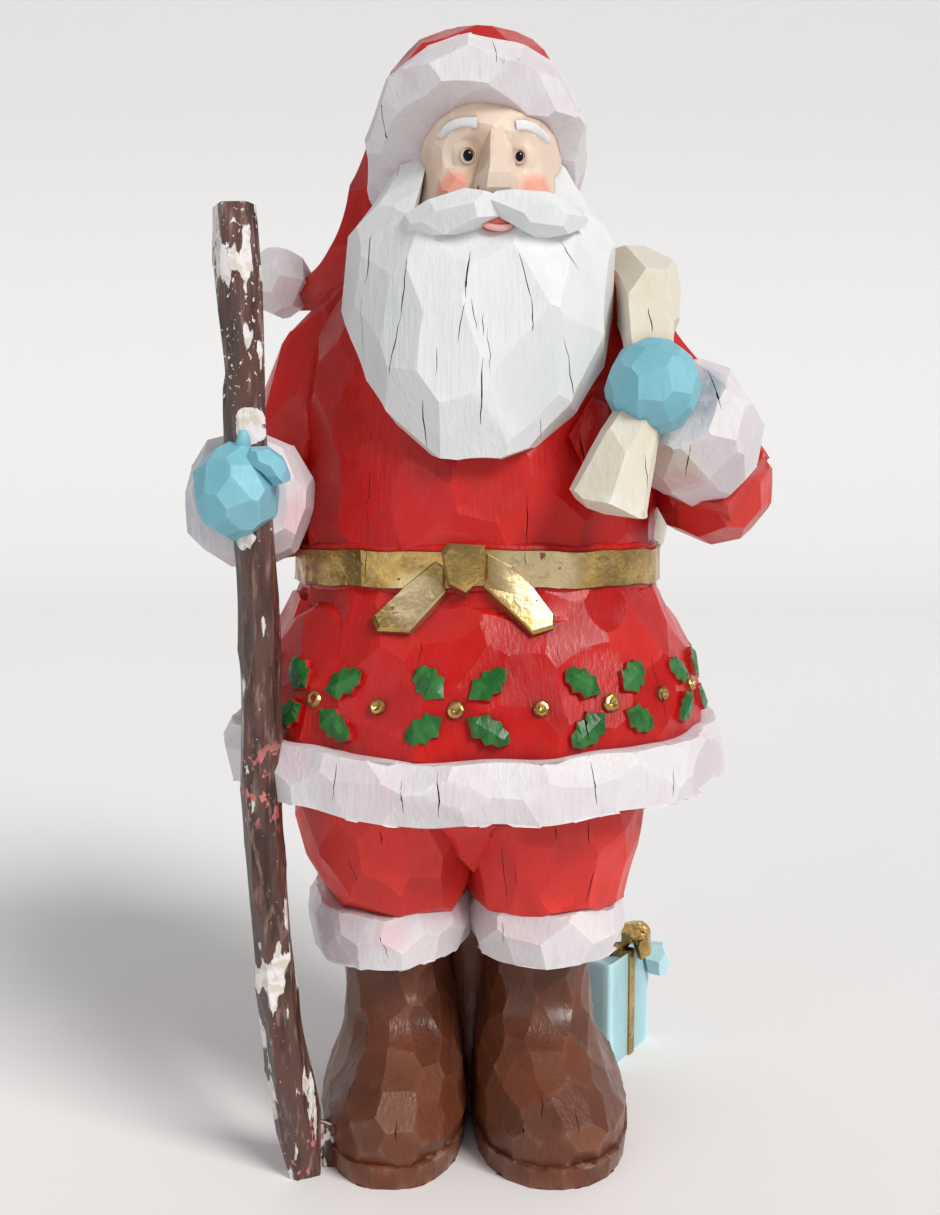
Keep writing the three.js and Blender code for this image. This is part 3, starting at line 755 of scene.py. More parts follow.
def wedge(rows):
    """A closed blade with a V section along rows of point, normal, width and depth"""
    above = 0.5
    points = []
    centre = [row[0] for row in rows]
    for number, (point, normal, width, depth) in enumerate(rows):
        ahead = centre[min(number + 1, len(rows) - 1)] - centre[max(number - 1, 0)]
        across = np.cross(ahead, normal)
        across /= np.linalg.norm(across) + TINY
        flare = width / 2 * (1 + above / depth)
        points += [point + normal * above + across * flare, point + normal * above - across * flare,
                   point - normal * depth]
    faces = []
    for number in range(len(rows) - 1):
        a = number * 3
        for i in range(3):
            j = (i + 1) % 3
            faces += [(a + i, a + j, a + 3 + i), (a + 3 + i, a + j, a + 3 + j)]
    last = (len(rows) - 1) * 3
    faces += [(0, 2, 1), (last, last + 1, last + 2)]
    form = Form(points, faces, "crack_dark")
    corners = form.points[form.faces]
    volume = np.einsum("ij,ij->i", corners[:, 0], np.cross(corners[:, 1], corners[:, 2])).sum()
    if volume < 0:
        form.faces = form.faces[:, ::-1]
    return form


# The coat and what lies on it

def coat_stations():
    """Stations of the coat from the hem to the neck: height, centre x and y, half width, front, back"""
    s = sizes()
    hem, edge, waist, belt = s["hem_height"], s["hem_band"] / 2, s["waist_height"], s["belt_width"] / 2
    return [
        (hem - edge, 1, 0, 62.6, 55.8, 52.6),
        (hem, 1, 0, 63.2, 56.4, 53.2),
        (hem + edge, 1, 0, 63.2, 56.4, 53),
        (130.5, 1.4, 0, 61, 54, 50),
        (141, 1.8, 0, 57.4, 50, 46),
        (151, 2, 0, 52.6, 46.2, 41.6),
        (waist - belt, 2, 0, 48.6, 43, 38.4),
        (waist + belt, 2, 0, 48.2, 42.8, 38),
        (176, 2.2, 0.2, 48.9, 42.8, 38.4),
        (184, 2.5, 0.5, 48.8, 42.2, 38.2),
        (199, 3, 1, 49, 41, 38),
        (214, 3.5, 1, 48, 38, 37),
        (228, 4, 2, 44, 33, 34),
        (240, 4, 2, 36, 26, 28),
        (250, 4, 2, 22, 17, 18),
    ]


COAT_SQUARE = 2.1


def hem_sway(angle, z):
    """The hem hangs lower in front and behind than at the sides"""
    s = sizes()
    reach = s["waist_height"] - s["belt_width"] - s["hem_height"]
    share = np.clip(1 - np.maximum(0, z - s["hem_height"]) / reach, 0, 1)
    return s["hem_sway"] * share * np.cos(angle)**2


class CoatSurface:
    """Places on the coat: turned from the front towards +X, then across, up and off it"""

    def __init__(self):
        self.table = np.array(coat_stations())

    def point(self, angle, z):
        columns = [np.interp(z, self.table[:, 0], self.table[:, k]) for k in range(1, 6)]
        x, y, half_width, front, back = columns
        u, v = superellipse(np.array(angle), half_width, front, back, COAT_SQUARE)
        return np.array([x + u, y + v, z + float(hem_sway(angle, z))])

    def front(self, x, z):
        """The point of the coat's front at an x and z"""
        middle, y, half_width, depth = (np.interp(z, self.table[:, 0], self.table[:, k])
                                        for k in range(1, 5))
        share = 1 - min(abs(x - middle) / half_width, 1)**COAT_SQUARE
        return np.array([x, y - depth * share**(1 / COAT_SQUARE), z])

    def place(self, turn, height):
        start = math.radians(turn - 90)
        step = 0.02
        radius = np.linalg.norm(self.point(start + step, height) - self.point(start - step, height))
        radius /= 2 * step

        def at(u, v, h):
            angle, z = start + u / radius, height + v
            across = self.point(angle + step, z) - self.point(angle - step, z)
            upward = self.point(angle, z + 1) - self.point(angle, z - 1)
            outward = np.cross(across, upward)
            return self.point(angle, z) + outward / np.linalg.norm(outward) * h

        return at


def hem_trim():
    s = sizes()
    middle, edge, relief = s["hem_height"], s["hem_band"] / 2, s["hem_relief"]
    stations = [
        (middle - edge, 1, 0, 62, 55.2, 52),
        (middle - edge, 1, 0, 63.4 + relief * 0.6, 56.5 + relief * 0.6, 53.5 + relief * 0.6),
        (middle - edge * 0.8, 1, 0, 63.4 + relief, 56.5 + relief, 53.5 + relief),
        (middle, 1, 0, 64 + relief, 57.4 + relief, 54.2 + relief),
        (middle + edge * 0.7, 1, 0, 63.2 + relief, 56.2 + relief, 53 + relief),
        (middle + edge, 1, 0, 63 + relief * 0.4, 56 + relief * 0.4, 52.6 + relief * 0.4),
        (middle + edge, 1, 0, 61, 54, 51),
    ]

    def sway(angle, z):
        wave = 0.55 * np.sin(5 * angle + 1) + 0.45 * np.sin(11 * angle) + 0.3 * np.sin(17 * angle + 2)
        return hem_sway(angle, z) + wave * np.where(z < middle, 1.0, 0.7)

    return upright(stations, "fur_white", COAT_SQUARE, EDGE, sway)


def belt():
    """The belt, and the thin lips of the coat that close on its edges"""
    s = sizes()
    middle, edge, relief = s["waist_height"], s["belt_width"] / 2, s["belt_relief"]

    def sway(angle, z):
        return 0.35 * np.sin(3 * angle) + 0.25 * np.sin(8 * angle + 1) + 0.15 * np.sin(19 * angle)

    def ring(rows, paint):
        stations = [(middle + lift, 2, 0, 48.4 + out, 43 + out, 38 + out) for lift, out in rows]
        return upright(stations, paint, COAT_SQUARE, FINE_EDGE * 1.3, sway)

    band = ring([(-edge, -1.5), (-edge, relief * 0.5), (-edge * 0.88, relief), (edge * 0.88, relief),
                 (edge, relief * 0.5), (edge, -1.5)], "gold_leaf")
    above = ring([(edge - 0.8, -3), (edge - 0.8, 0.3), (edge + 0.5, 0.85), (edge + 1.3, 0.5),
                  (edge + 1.9, -0.6), (edge + 2.1, -3)], "coat_red")
    below = ring([(-edge - 2.1, -3), (-edge - 1.9, -0.4), (-edge - 1.2, 0.6), (-edge - 0.4, 0.8),
                  (-edge + 0.8, 0.3), (-edge + 0.8, -3)], "coat_red")
    return [carve(band, 12, 13, tilt=0.02, level=True), above, below]


def belt_tie(surface):
    """The knot and the two ribbon ends that hang from it"""
    place = surface.place(-4, sizes()["waist_height"] + 1)
    knot = [(-5, 3.4), (-3.4, -5), (1, -7.4), (5, -2.2), (5, 5.2), (-3.4, 5.6)]
    left_end = [(-4, 0.5), (-6.5, 1.5), (-14.6, -5), (-22, -13.4), (-19.6, -16.6), (-11.6, -16.6),
                (-7.6, -11.4), (-4, -7)]
    right_end = [(5, -5.5), (10, -10.6), (15.6, -17), (21, -15.6), (21.6, -13), (17.4, -6), (11.4, 0.5),
                 (5, 4)]
    gold = ("gold_leaf", "gold_leaf")
    return [
        plate(left_end, place, gold, 2.2, 2.3, 4, 0.5, 0.1),
        plate(right_end, place, gold, 2.2, 2.3, 4, 0.5, 0.1),
        plate(knot, place, gold, 4.2, 4.6, 4, 0.9, 0.2),
    ]


def collar_flap(surface):
    """The upturned corner of the collar beside the beard"""
    outline = [(26.7, 197.8), (29.6, 187.5), (32.1, 191.4), (35.6, 197.7), (34.8, 204.6), (30.6, 206.5),
               (28.4, 203)]
    inner = [(24.4, 196.6), (26.9, 191.6), (29.4, 186.6), (26.5, 197.9), (28.2, 203)]

    def place(x, z, h):
        return surface.front(x, z) - np.array([0, h, 0])

    return [plate(outline, place, ("coat_red", "coat_red"), 1.1, 1.9, 6, 0.6, 0.14),
            plate(inner, place, ("coat_red", "coat_red"), 0.8, 1.3, 6, 0.5, 0.1)]


def leaf(place, direction, reach, length, width, random):
    """A holly leaf: red sides, and two green halves that rise to a ridge along the vein"""
    side = [(-0.62, 0.54), (-0.4, 0.98), (-0.12, 0.74), (0.2, 1.0), (0.42, 0.68), (0.72, 0.62)]
    along = [-1, *(a for a, _ in side), 1]
    across = [0, *(b for _, b in side), 0]
    half, wide = length / 2, width / 2
    c, s = math.cos(direction), math.sin(direction)

    def at(a, b, h):
        jitter = random.uniform(-0.03, 0.03)
        u, v = reach + (a + jitter) * half, b * wide
        return place(u * c - v * s, u * s + v * c, h)

    count = len(along)
    foot, rim, vein = [], [], []
    outline = [(a, -b) for a, b in zip(along, across)]
    outline += [(a, b) for a, b in zip(along[::-1], across[::-1])][1:-1]
    for a, b in outline:
        foot.append(at(a * 1.08, b * 1.16, -2.0))
        rim.append(at(a, b, 1.4 + random.uniform(-0.08, 0.08)))
    inner = along[1:-1]
    for a in inner:
        vein.append(at(a, 0, 2.1))
    points = foot + rim + vein + [at(0, 0, -2.0)]
    size = len(outline)
    faces, paint = [], []

    def add(face, colour):
        faces.append(face)
        paint.append(PAINT[colour])

    for i in range(size):
        j = (i + 1) % size
        add((i, j, size + i), "coat_red")
        add((size + i, j, size + j), "coat_red")
        add((len(points) - 1, j, i), "coat_red")
    ridge = 2 * size
    last = len(inner) - 1
    for i in range(count - 1):
        low, high = size + i, size + i + 1
        left_low, left_high = size + (size - i) % size, size + size - i - 1
        spine_low = ridge + min(max(i - 1, 0), last)
        spine_high = ridge + min(i, last)
        add((low, high, spine_high), "holly_green")
        add((left_high, left_low, spine_high), "holly_green")
        if spine_low != spine_high:
            add((low, spine_high, spine_low), "holly_green")
            add((left_low, spine_low, spine_high), "holly_green")
    return Form(points, faces, np.array(paint))


def berry(place, radius, random):
    """A gold berry with a dimple"""
    profile = [(1.15, -2.0), (1.1, 0.5), (0.92, 1.0), (0.62, 1.12), (0.34, 0.55), (0.16, 0.3)]
    sides = 14
    rings = []
    for share, height in profile:
        ring = []
        for k in range(sides):
            angle = 2 * math.pi * k / sides
            reach = radius * share * random.uniform(0.94, 1.06)
            ring.append(place(reach * math.cos(angle), reach * math.sin(angle), height * radius / 2))
        rings.append(ring)
    return skin(np.array(rings), radius, "gold_leaf")


CLUSTERS = 10
CLUSTER_HEIGHT = 130.5
CLUSTER_START = -4


def holly_band(surface):
    """Clusters of four leaves and a berry all round the coat, with single berries between"""
    random = np.random.default_rng(21)
    step = 360 / CLUSTERS
    found = []
    for number in range(CLUSTERS):
        place = surface.place(CLUSTER_START + number * step, CLUSTER_HEIGHT)
        for direction in (35, 145, 217, 323):
            turn = math.radians(direction + random.uniform(-5, 5))
            reach = 9.2 * random.uniform(0.95, 1.05)
            length = 11 * random.uniform(0.92, 1.06)
            found.append(leaf(place, turn, reach, length, 6.9 * random.uniform(0.92, 1.08), random))
        found.append(berry(place, 2.0, random))
        between = surface.place(CLUSTER_START + (number + 0.5) * step, CLUSTER_HEIGHT)
        found.append(berry(between, 1.7, random))
    return merge(found)


class SANTA_OT_coat(bpy.types.Operator):
    """Build the coat with its fur hem, belt, ribbon and holly band"""

    bl_idname = "santa.coat"
    bl_label = "Coat"

    def execute(self, context):
        cut = knife()
        surface = CoatSurface()
        coat = carve(upright(coat_stations(), "coat_red", COAT_SQUARE, EDGE, hem_sway),
                     cut["broad_cut"] * 0.8, 5, tilt=0.065, stretch=(1, 1, 0.8), deep=0.1)
        hem = carve(hem_trim(), cut["plain_cut"], 12, tilt=0.08, level=True)
        finish_piece("coat", [coat, hem, *belt(), *belt_tie(surface), *collar_flap(surface),
                              holly_band(surface)], COAT_CRACKS)
        return {"FINISHED"}


def front_and_back(front, back=()):
    """Cracks as x and z of both ends and a width factor, with the side that they are cut from"""
    return [(*row, 1) for row in front] + [(*row, -1) for row in back]


COAT_CRACKS = front_and_back([
    (-24.9, 188.1, -26.0, 179.4, 0.9), (-25.9, 179.4, -25.5, 171.4, 0.8),
    (14.3, 181.4, 14.1, 170.1, 0.9), (-25.7, 168.7, -26.0, 160.7, 0.7),
    (13.5, 168.0, 13.8, 164.8, 0.7), (27.5, 133.2, 28.8, 119.1, 0.9),
    (46.2, 140.9, 50.2, 121.9, 0.9), (-16.2, 114.4, -15.8, 106.7, 0.8),
    (-7.6, 116.8, -7.4, 105.7, 0.9), (29.0, 118.1, 30.6, 107.7, 0.9),
    (-32.2, 117.6, -33.3, 108.4, 0.8), (-31.2, 155.8, -33.1, 141.4, 0.6),
    (-12.0, 147.3, -12.5, 140.5, 0.5), (21.5, 145.1, 22.3, 140.8, 0.5),
    (50.6, 113.8, 50.2, 107.4, 0.7),
], [
    (-34, 205, -36, 184, 0.9), (-22, 150, -25, 136, 0.9), (8, 117, 7, 106, 0.8),
    (-30, 116, -31, 107, 0.8), (36, 115, 37, 108, 0.7),
])


# Legs and boots

# How far each boot is drawn in at its heights: inwards, and on both sides
LEFT_BOOT = [(0, -0.4), (0, -0.7), (0, 0.7), (0.8, 2.3), (1.2, 3.6), (1.1, 4.2), (0.7, 4.7), (0, 5.2), (0, 4.6)]
RIGHT_BOOT = [(0, 0), (0.3, 0.2), (1.4, 1.8), (2.8, 3.6), (3.5, 5.0), (3.5, 5.9), (3.1, 6.8), (3.1, 7.2),
              (2.8, 6.8)]


def boot(side, centre, half, drawn_in):
    s = sizes()
    top = s["cuff_height"] - s["cuff_edge"]
    sole = s["sole_thickness"]
    levels = [(sole + 0.6, 6, 42, 41.2), (11.5, 6, 42.6, 41.5), (17, 6.4, 41.8, 40.6), (22.4, 7.4, 38.2, 38),
              (28, 9, 32, 34), (33, 10.6, 27, 30), (39, 11.6, 23.6, 26.6), (46, 11.8, 22, 24.2),
              (top + 3, 10.4, 20.8, 22.4)]
    stations = [(sole - 2, side * centre, 6, half - 1.4, 40.6, 40), (sole - 0.4, side * centre, 6, half - 1.2, 40.8, 40.2)]
    for (z, y, front, back), (shift, shrink) in zip(levels, drawn_in):
        stations.append((z, side * (centre - shift), y, half - shrink, front, back))
    upper = upright(stations, "boot_brown", 2.3)
    base = upright([
        (-3, side * centre, 6, half - 1.0, 41.2, 40.8),
        (-2, side * centre, 6, half - 0.6, 41.6, 41.2),
        (sole - 1, side * centre, 6, half - 0.1, 42.2, 41.8),
        (sole - 0.5, side * centre, 6, half - 0.5, 41.8, 41.4),
        (sole - 0.2, side * centre, 6, half - 2.6, 39, 39),
    ], "boot_brown", 2.4)
    return upper, base


def trouser(side):
    s = sizes()
    top = s["cuff_height"] + s["cuff_edge"]
    slim = 1.8 if side < 0 else 0.3
    middle = side * (21.3 - slim * 0.8)
    return upright([
        (top - 3, middle, 4, 17, 30, 27),
        (top + 0.2, middle, 4, 21.4 - slim, 34.8, 31.6),
        (top + 1.2, middle, 3.8, 23.1 - slim, 36.9, 33.6),
        (top + 2.8, middle, 3.6, 23.4 - slim, 37.2, 34),
        (top + 4.4, middle, 3.2, 22.8 - slim, 36.4, 33),
        (82, side * (21.6 - slim * 0.4), 2, 24.6 - slim * 0.6, 38, 34.8),
        (95, side * 22.2, 0, 26.2, 40, 38),
        (104, side * 22.1, 0, 26.2, 40.2, 38),
        (112, side * 22, 0, 26, 40, 38),
    ], "trouser_red", 2.3, EDGE, lambda angle, z: 0.7 * np.sin(3 * angle - side) * (z < top + 5))


def trouser_cuff(side):
    s = sizes()
    middle, edge = s["cuff_height"], s["cuff_edge"]
    across = side * (22.2 if side < 0 else 21.2)
    half = 23.2 if side < 0 else 22.2
    stations = [
        (middle - edge, across, 4, 17, 30, 27),
        (middle - edge, across, 4, half - 2.6, 34.6, 31.4),
        (middle - edge * 0.7, across, 4, half - 0.8, 37.4, 34),
        (middle, across, 4, half, 38.7, 35.2),
        (middle + edge * 0.8, across, 4, half - 0.4, 38.2, 35.2),
        (middle + edge * 1.2, side * 22, 4, 20.6, 35, 32),
        (middle + edge * 1.2, side * 21.6, 4, 16, 28, 26),
    ]

    def sway(angle, z):
        return 0.5 * np.sin(4 * angle + side) + 0.4 * np.sin(9 * angle)

    return upright(stations, "fur_white", 2.3, EDGE, sway)


class SANTA_OT_legs(bpy.types.Operator):
    """Build the trousers, their fur cuffs and the boots"""

    bl_idname = "santa.legs"
    bl_label = "Legs"

    def execute(self, context):
        cut = knife()
        forms = []
        for side, centre, half, drawn_in, seed in ((-1, 21.2, 20.4, LEFT_BOOT, 31), (1, 22.6, 22.4, RIGHT_BOOT, 32)):
            upper, base = boot(side, centre, half, drawn_in)
            forms += [
                carve(upper, cut["plain_cut"] * 0.74, seed, tilt=0.045, stretch=(1, 1, 1.15)),
                carve(base, cut["plain_cut"] * 0.8, seed + 10, tilt=0.015, level=True),
                carve(trouser(side), cut["plain_cut"], seed + 20, tilt=0.035, stretch=(1, 1, 0.7), level=True),
                carve(trouser_cuff(side), cut["plain_cut"], seed + 30, tilt=0.08, level=True),
            ]
        bridge = upright([(0, 0.5, 16, 8, 10, 18), (30, 0.5, 18, 8, 8, 12), (62, 0.5, 16, 8, 8, 10)],
                         "boot_brown")
        for form in forms:
            form.points[:, 2] = np.maximum(form.points[:, 2], 0)
        hips = upright([(82, 0.4, -1, 4, 22, 20), (86, 0.4, -1, 8, 27, 25), (91, 0.4, -0.6, 15, 31.4, 29),
                        (97, 0.4, 0, 26, 35.4, 34), (104, 0.4, 0, 38, 38, 37), (113, 0.4, 0, 42, 39, 38)],
                       "trouser_red", 2.3)
        forms += [bridge, carve(hips, cut["plain_cut"] * 0.9, 64, tilt=0.05)]
        finish_piece("legs", forms, LEG_CRACKS)
        return {"FINISHED"}


LEG_CRACKS = front_and_back([
    (-22.6, 97.6, -22.6, 93.9, 0.8), (-12.4, 99.1, -12.2, 96.0, 0.7), (21.6, 99.1, 21.9, 95.0, 0.8),
    (29.9, 99.6, 30.5, 93.4, 0.8), (8.2, 91.3, 9.8, 74.2, 0.8), (11.5, 86.3, 12.0, 81.6, 0.6),
    (32.6, 87.0, 30.1, 76.3, 0.8), (-31.0, 89.1, -29.0, 83.0, 0.8), (-23.2, 68.1, -21.2, 62.3, 0.8),
    (8.5, 70.2, 8.8, 64.4, 0.8), (-32.3, 22.8, -33.7, 17.2, 0.8), (-19.2, 18.3, -19.2, 12.8, 0.8),
    (18.8, 23.2, 18.9, 18.5, 0.8), (14.2, 18.3, 14.2, 13.4, 0.8), (27.8, 19.7, 28.7, 14.2, 0.8),
    (-28.4, 35.8, -28.4, 30.4, 0.6), (26.0, 40.3, 26.3, 35.2, 0.6), (-8.0, 20.9, -7.5, 14.8, 0.6),
    (38.2, 14.3, 38.6, 8.6, 0.6),
], [
    (-24, 96, -25, 84, 0.8), (17, 92, 18, 80, 0.8), (-20, 40, -20, 26, 0.8), (27, 30, 28, 18, 0.8),
])


# Arms and sack

def stick_arm():
    cut = knife()
    plain, small = cut["plain_cut"], cut["small_cut"]
    upper = limb([(-24, 5, 236, 6), (-27, 4.6, 233, 9.6), (-32, 4, 226.6, 12.8), (-41, 2, 210, 14),
                  (-46, -1, 193, 14.5), (-50, -5, 178, 14)],
                 "coat_red", (0, 1, 0))
    fore = limb([(-51, -4, 178, 13), (-54.6, -17, 179.6, 12.4)], "coat_red")
    fur = limb([
        (-53.8, -11.6, 178.6, 12.4, 13.6), (-54.7, -14.8, 179.2, 14.4, 15.8), (-55.8, -20.4, 180, 15, 16.8),
        (-56.8, -28, 180.6, 15.3, 17.3),
        (-57.3, -35, 181, 14.4, 16.2), (-57.4, -38, 181.2, 11, 12.5),
    ], "fur_white")
    thumb = limb([(-53, -48, 189, 2.8), (-50.4, -51, 190.4, 3.0), (-47.6, -51.6, 189.6, 3.1),
                  (-45.8, -51, 187.2, 2.8), (-45.2, -50.4, 185, 1.8)], "mitten_blue", edge=0.5)
    tab = limb([(-54.6, -48, 192, 2.2), (-54.2, -49.2, 195.6, 1.6), (-54.4, -49.4, 197.6, 0.7)],
               "mitten_blue", (0, 1, 0), 0.5)
    return [
        carve(upper, plain, 41, stretch=(1, 1, 0.7)),
        carve(ball((-50.5, -6, 178.5), (14.2, 14, 14), "coat_red"), plain, 42),
        carve(fore, plain, 43),
        carve(fur, plain * 0.78, 44, tilt=0.08),
        carve(ball((-56.6, -46, 183), (10.2, 11.2, 11.6), "mitten_blue", FINE_EDGE), small * 0.85, 45,
              tilt=0.1, stretch=(1.15, 1, 0.85)),
        carve(thumb, 3.4, 46, tilt=0.03), tab,
    ]


def sack_arm():
    cut = knife()
    plain, small = cut["plain_cut"], cut["small_cut"]
    upper = limb([(42, 4, 219, 15.5), (54, 2, 206, 14.5), (62, -2, 194, 14.4), (66, -5, 185, 14.6)],
                 "coat_red", (0, 1, 0))
    fore = limb([(65.4, -8, 186, 13), (62.8, -17.4, 190.8, 12.4)], "coat_red")
    fur = limb([(61.9, -12.2, 190.2, 12.4), (61, -15.4, 192, 14.2), (59.8, -19, 194, 15.6), (57.6, -24, 197, 16.4),
                (55, -30, 200.4, 16.2),
                (52.8, -34.6, 202.6, 14.6), (51.4, -37.4, 204, 11)], "fur_white")
    return [
        carve(upper, plain, 51),
        carve(ball((66.2, -5, 184.4), (15.8, 15.4, 15.6), "coat_red"), plain * 0.8, 52),
        carve(fore, plain, 53),
        carve(fur, plain * 0.78, 54, tilt=0.08),
        carve(ball((43.9, -47, 207.8), (11.2, 11.2, 11.7), "mitten_blue", FINE_EDGE), small * 0.85, 55,
              tilt=0.1, stretch=(1.15, 1, 0.85)),
    ]


def sack():
    cut = knife()
    tail = limb([(42.6, -46, 206, 5, 5.6), (37.2, -49, 192, 7.4, 7.4), (33.4, -50, 182, 9.4, 8.2),
                 (32.4, -50, 179.4, 8.4, 7), (32, -50, 178.2, 5.4, 4)], "sack_cream", (0, 1, 0))
    neck = limb([
        (43, -45, 212, 5.4, 5), (43.4, -38, 220, 6.6, 5.8), (45, -27, 228, 8.6, 7.2),
        (46, -13, 234, 10, 9), (46, 4, 237.6, 11.6, 10.6), (38, 24, 233, 18, 18),
    ], "sack_cream", (1, 0, 0), square=2.3)
    bag = upright([
        (120, 14, 42, 12, 10, 12), (126, 10, 42, 28, 28, 25), (142, 9, 42, 37, 36, 34),
        (156, 11, 42, 42.6, 38, 37), (172, 14.5, 42, 46, 38, 37), (192, 17, 40, 43, 34, 34),
        (212, 24, 34, 33, 26, 27), (230, 32, 28, 22, 18, 18), (240, 38, 24, 10, 9, 9),
    ], "sack_cream")
    return [
        carve(tail, 8, 61, stretch=(1, 1, 0.6), tilt=0.04),
        carve(neck, 8, 62, tilt=0.04, stretch=(1, 0.35, 0.35)),
        carve(bag, cut["broad_cut"], 63),
    ]


class SANTA_OT_arms(bpy.types.Operator):
    """Build both arms with cuffs and mittens, and the sack"""

    bl_idname = "santa.arms"
    bl_label = "Arms and Sack"

    def execute(self, context):
        finish_piece("stick_arm", stick_arm())
        finish_piece("sack_arm", [*sack_arm(), *sack()], SACK_CRACKS)
        return {"FINISHED"}


SACK_CRACKS = front_and_back([
    (43.6, 227.6, 43.7, 220.6, 0.9), (41.1, 191.5, 41.9, 183.3, 0.9),
    (58.7, 214.4, 61.2, 202.7, 0.7), (53.6, 194.2, 53.7, 186.3, 0.9),
], [
    (2, 206, 0, 186, 0.9), (30, 190, 33, 168, 1.0), (10, 152, 9, 138, 0.8), (36, 222, 38, 210, 0.7),
])


# Head, beard and hat

# Each eye's x and z, and the half width and half height of its black oval
EYES = ((-0.5, 264.6, 1.3, 1.5), (12.05, 264.3, 1.05, 1.28))


def bump(value, width):
    return np.exp(-(value / width)**2)


def face_relief(x, z):
    """How far the plain face comes forward: sockets, brow and cheeks"""
    sockets = sum(deep * bump(x - eye_x, 5) * bump(z - eye_z, 5)
                  for (eye_x, eye_z, _, _), deep in zip(EYES, (1.8, 1.2)))
    brow_ridge = 0.4 * bump(z - 271, 3) * bump(x - 6, 15)
    cheeks = 1.9 * (bump(x + 4.6, 5) + bump(x - 17.4, 5)) * bump(z - 254.8, 4.4)
    return brow_ridge + cheeks - sockets


def nose():
    """The nose as flat cuts: a front, two sides and an underside. Rows: height, how far forward the
    front and the wings reach, and x of the left wing, the front's two edges and the right wing"""
    rows = [(272.0, -36.8, -35.2, 4.2, 5.2, 7.4, 8.4), (267.6, -38.6, -36.0, 3.2, 4.9, 8.2, 9.9),
            (263.4, -41.8, -36.8, 2.4, 4.9, 8.8, 10.8), (260.4, -44.8, -37.8, 1.6, 4.8, 9.1, 11.4),
            (258.2, -46.6, -39.4, 1.1, 4.4, 9.5, 11.7), (254.8, -46.0, -39.8, 1.0, 4.0, 9.7, 11.6),
            (253.0, -43.6, -39.2, 2.2, 4.4, 9.2, 10.8)]
    back = -30.0
    rings = [[(x0, back, z), (x0, wing, z), (x1, front, z), (x2, front, z), (x3, wing, z), (x3, back, z)]
             for z, front, wing, x0, x1, x2, x3 in rows[::-1]]
    return skin(np.array(rings), 50, "skin")


def face():
    stations = [(238, 5, -13, 18.4, 23, 12), (252, 5, -13, 18.8, 24.2, 12), (262, 5, -13, 18.5, 24.4, 12),
                (272, 5, -13, 18, 23.8, 12), (280, 5, -13, 16, 21.4, 12), (284, 5, -13, 13, 17, 8)]
    form = upright(stations, "skin", 2.5, 0.5)
    x, y, z = form.points.T
    front = np.clip((-18 - y) / 10, 0, 1)
    form.points[:, 1] = y - front * face_relief(x, z)
    carve(form, knife()["face_cut"], 72, tilt=0.035)
    form.tone = 0.5 + 0.35 * (form.tone - 0.5)
    for eye_x, eye_z, _, _ in EYES:
        x, y, z = form.points.T
        near = np.clip(2.0 - np.hypot(x - eye_x, (z - eye_z) * 0.85) / 2.0, 0, 1) * (y < -25)
        form.points[:, 1] += near * (face_depth(form, eye_x, eye_z) - y)
    return form


def face_depth(form, x, z):
    """The face's y at a place seen from the front"""
    off = (form.points[:, 0] - x)**2 + (form.points[:, 2] - z)**2 + 1e3 * (form.points[:, 1] > -20)
    return form.points[off.argmin(), 1]


def eyes(front):
    """Black ovals on white ones, in thin raised rims, each with a small white dot as a painted glint"""
    found = []
    for x, z, wide, tall in EYES:
        y = face_depth(front, x, z)
        found.append(ball((x - 0.2, y + 0.15, z - 0.12), (wide + 0.3, 0.7, tall + 0.26), "beard_white", 0.3))
        found.append(ball((x, y - 0.1, z), (wide, 0.8, tall), "eye_black", 0.3))
        # A small white dot on the black: a painted glint.
        found.append(ball((x + 0.3, y - 0.84, z + 0.5), (0.14, 0.12, 0.16), "beard_white", 0.1))
        angle = np.arange(44) / 44 * 2 * math.pi
        sides = 10
        rings = []
        for step in range(sides):
            turn = step / sides * 2 * math.pi
            reach, rise = 0.2 * math.cos(turn), 0.34 * math.sin(turn)
            rings.append(np.stack([x + (wide + 0.5 + reach) * np.cos(angle), np.full(44, y - rise),
                                   z + (tall + 0.5 + reach) * np.sin(angle)], 1))
        number = np.arange(sides * 44).reshape(sides, 44)
        a, b = number.ravel(), np.roll(number, -1, 1).ravel()
        c, d = np.roll(number, -1, 0).ravel(), np.roll(np.roll(number, -1, 0), -1, 1).ravel()
        faces = np.concatenate([np.stack([a, b, d], 1), np.stack([a, d, c], 1)])
        found.append(Form(np.concatenate(rings), faces, "eye_rim"))
    return found


def brow(front, places):
    """A raised white eyebrow along places of x, z and half height"""
    stations = [(x, face_depth(front, x, z) + 0.5, z, 1.4, half) for x, z, half in places]
    return limb(stations, "beard_white", (0, 1, 0), 0.4, 2.6)


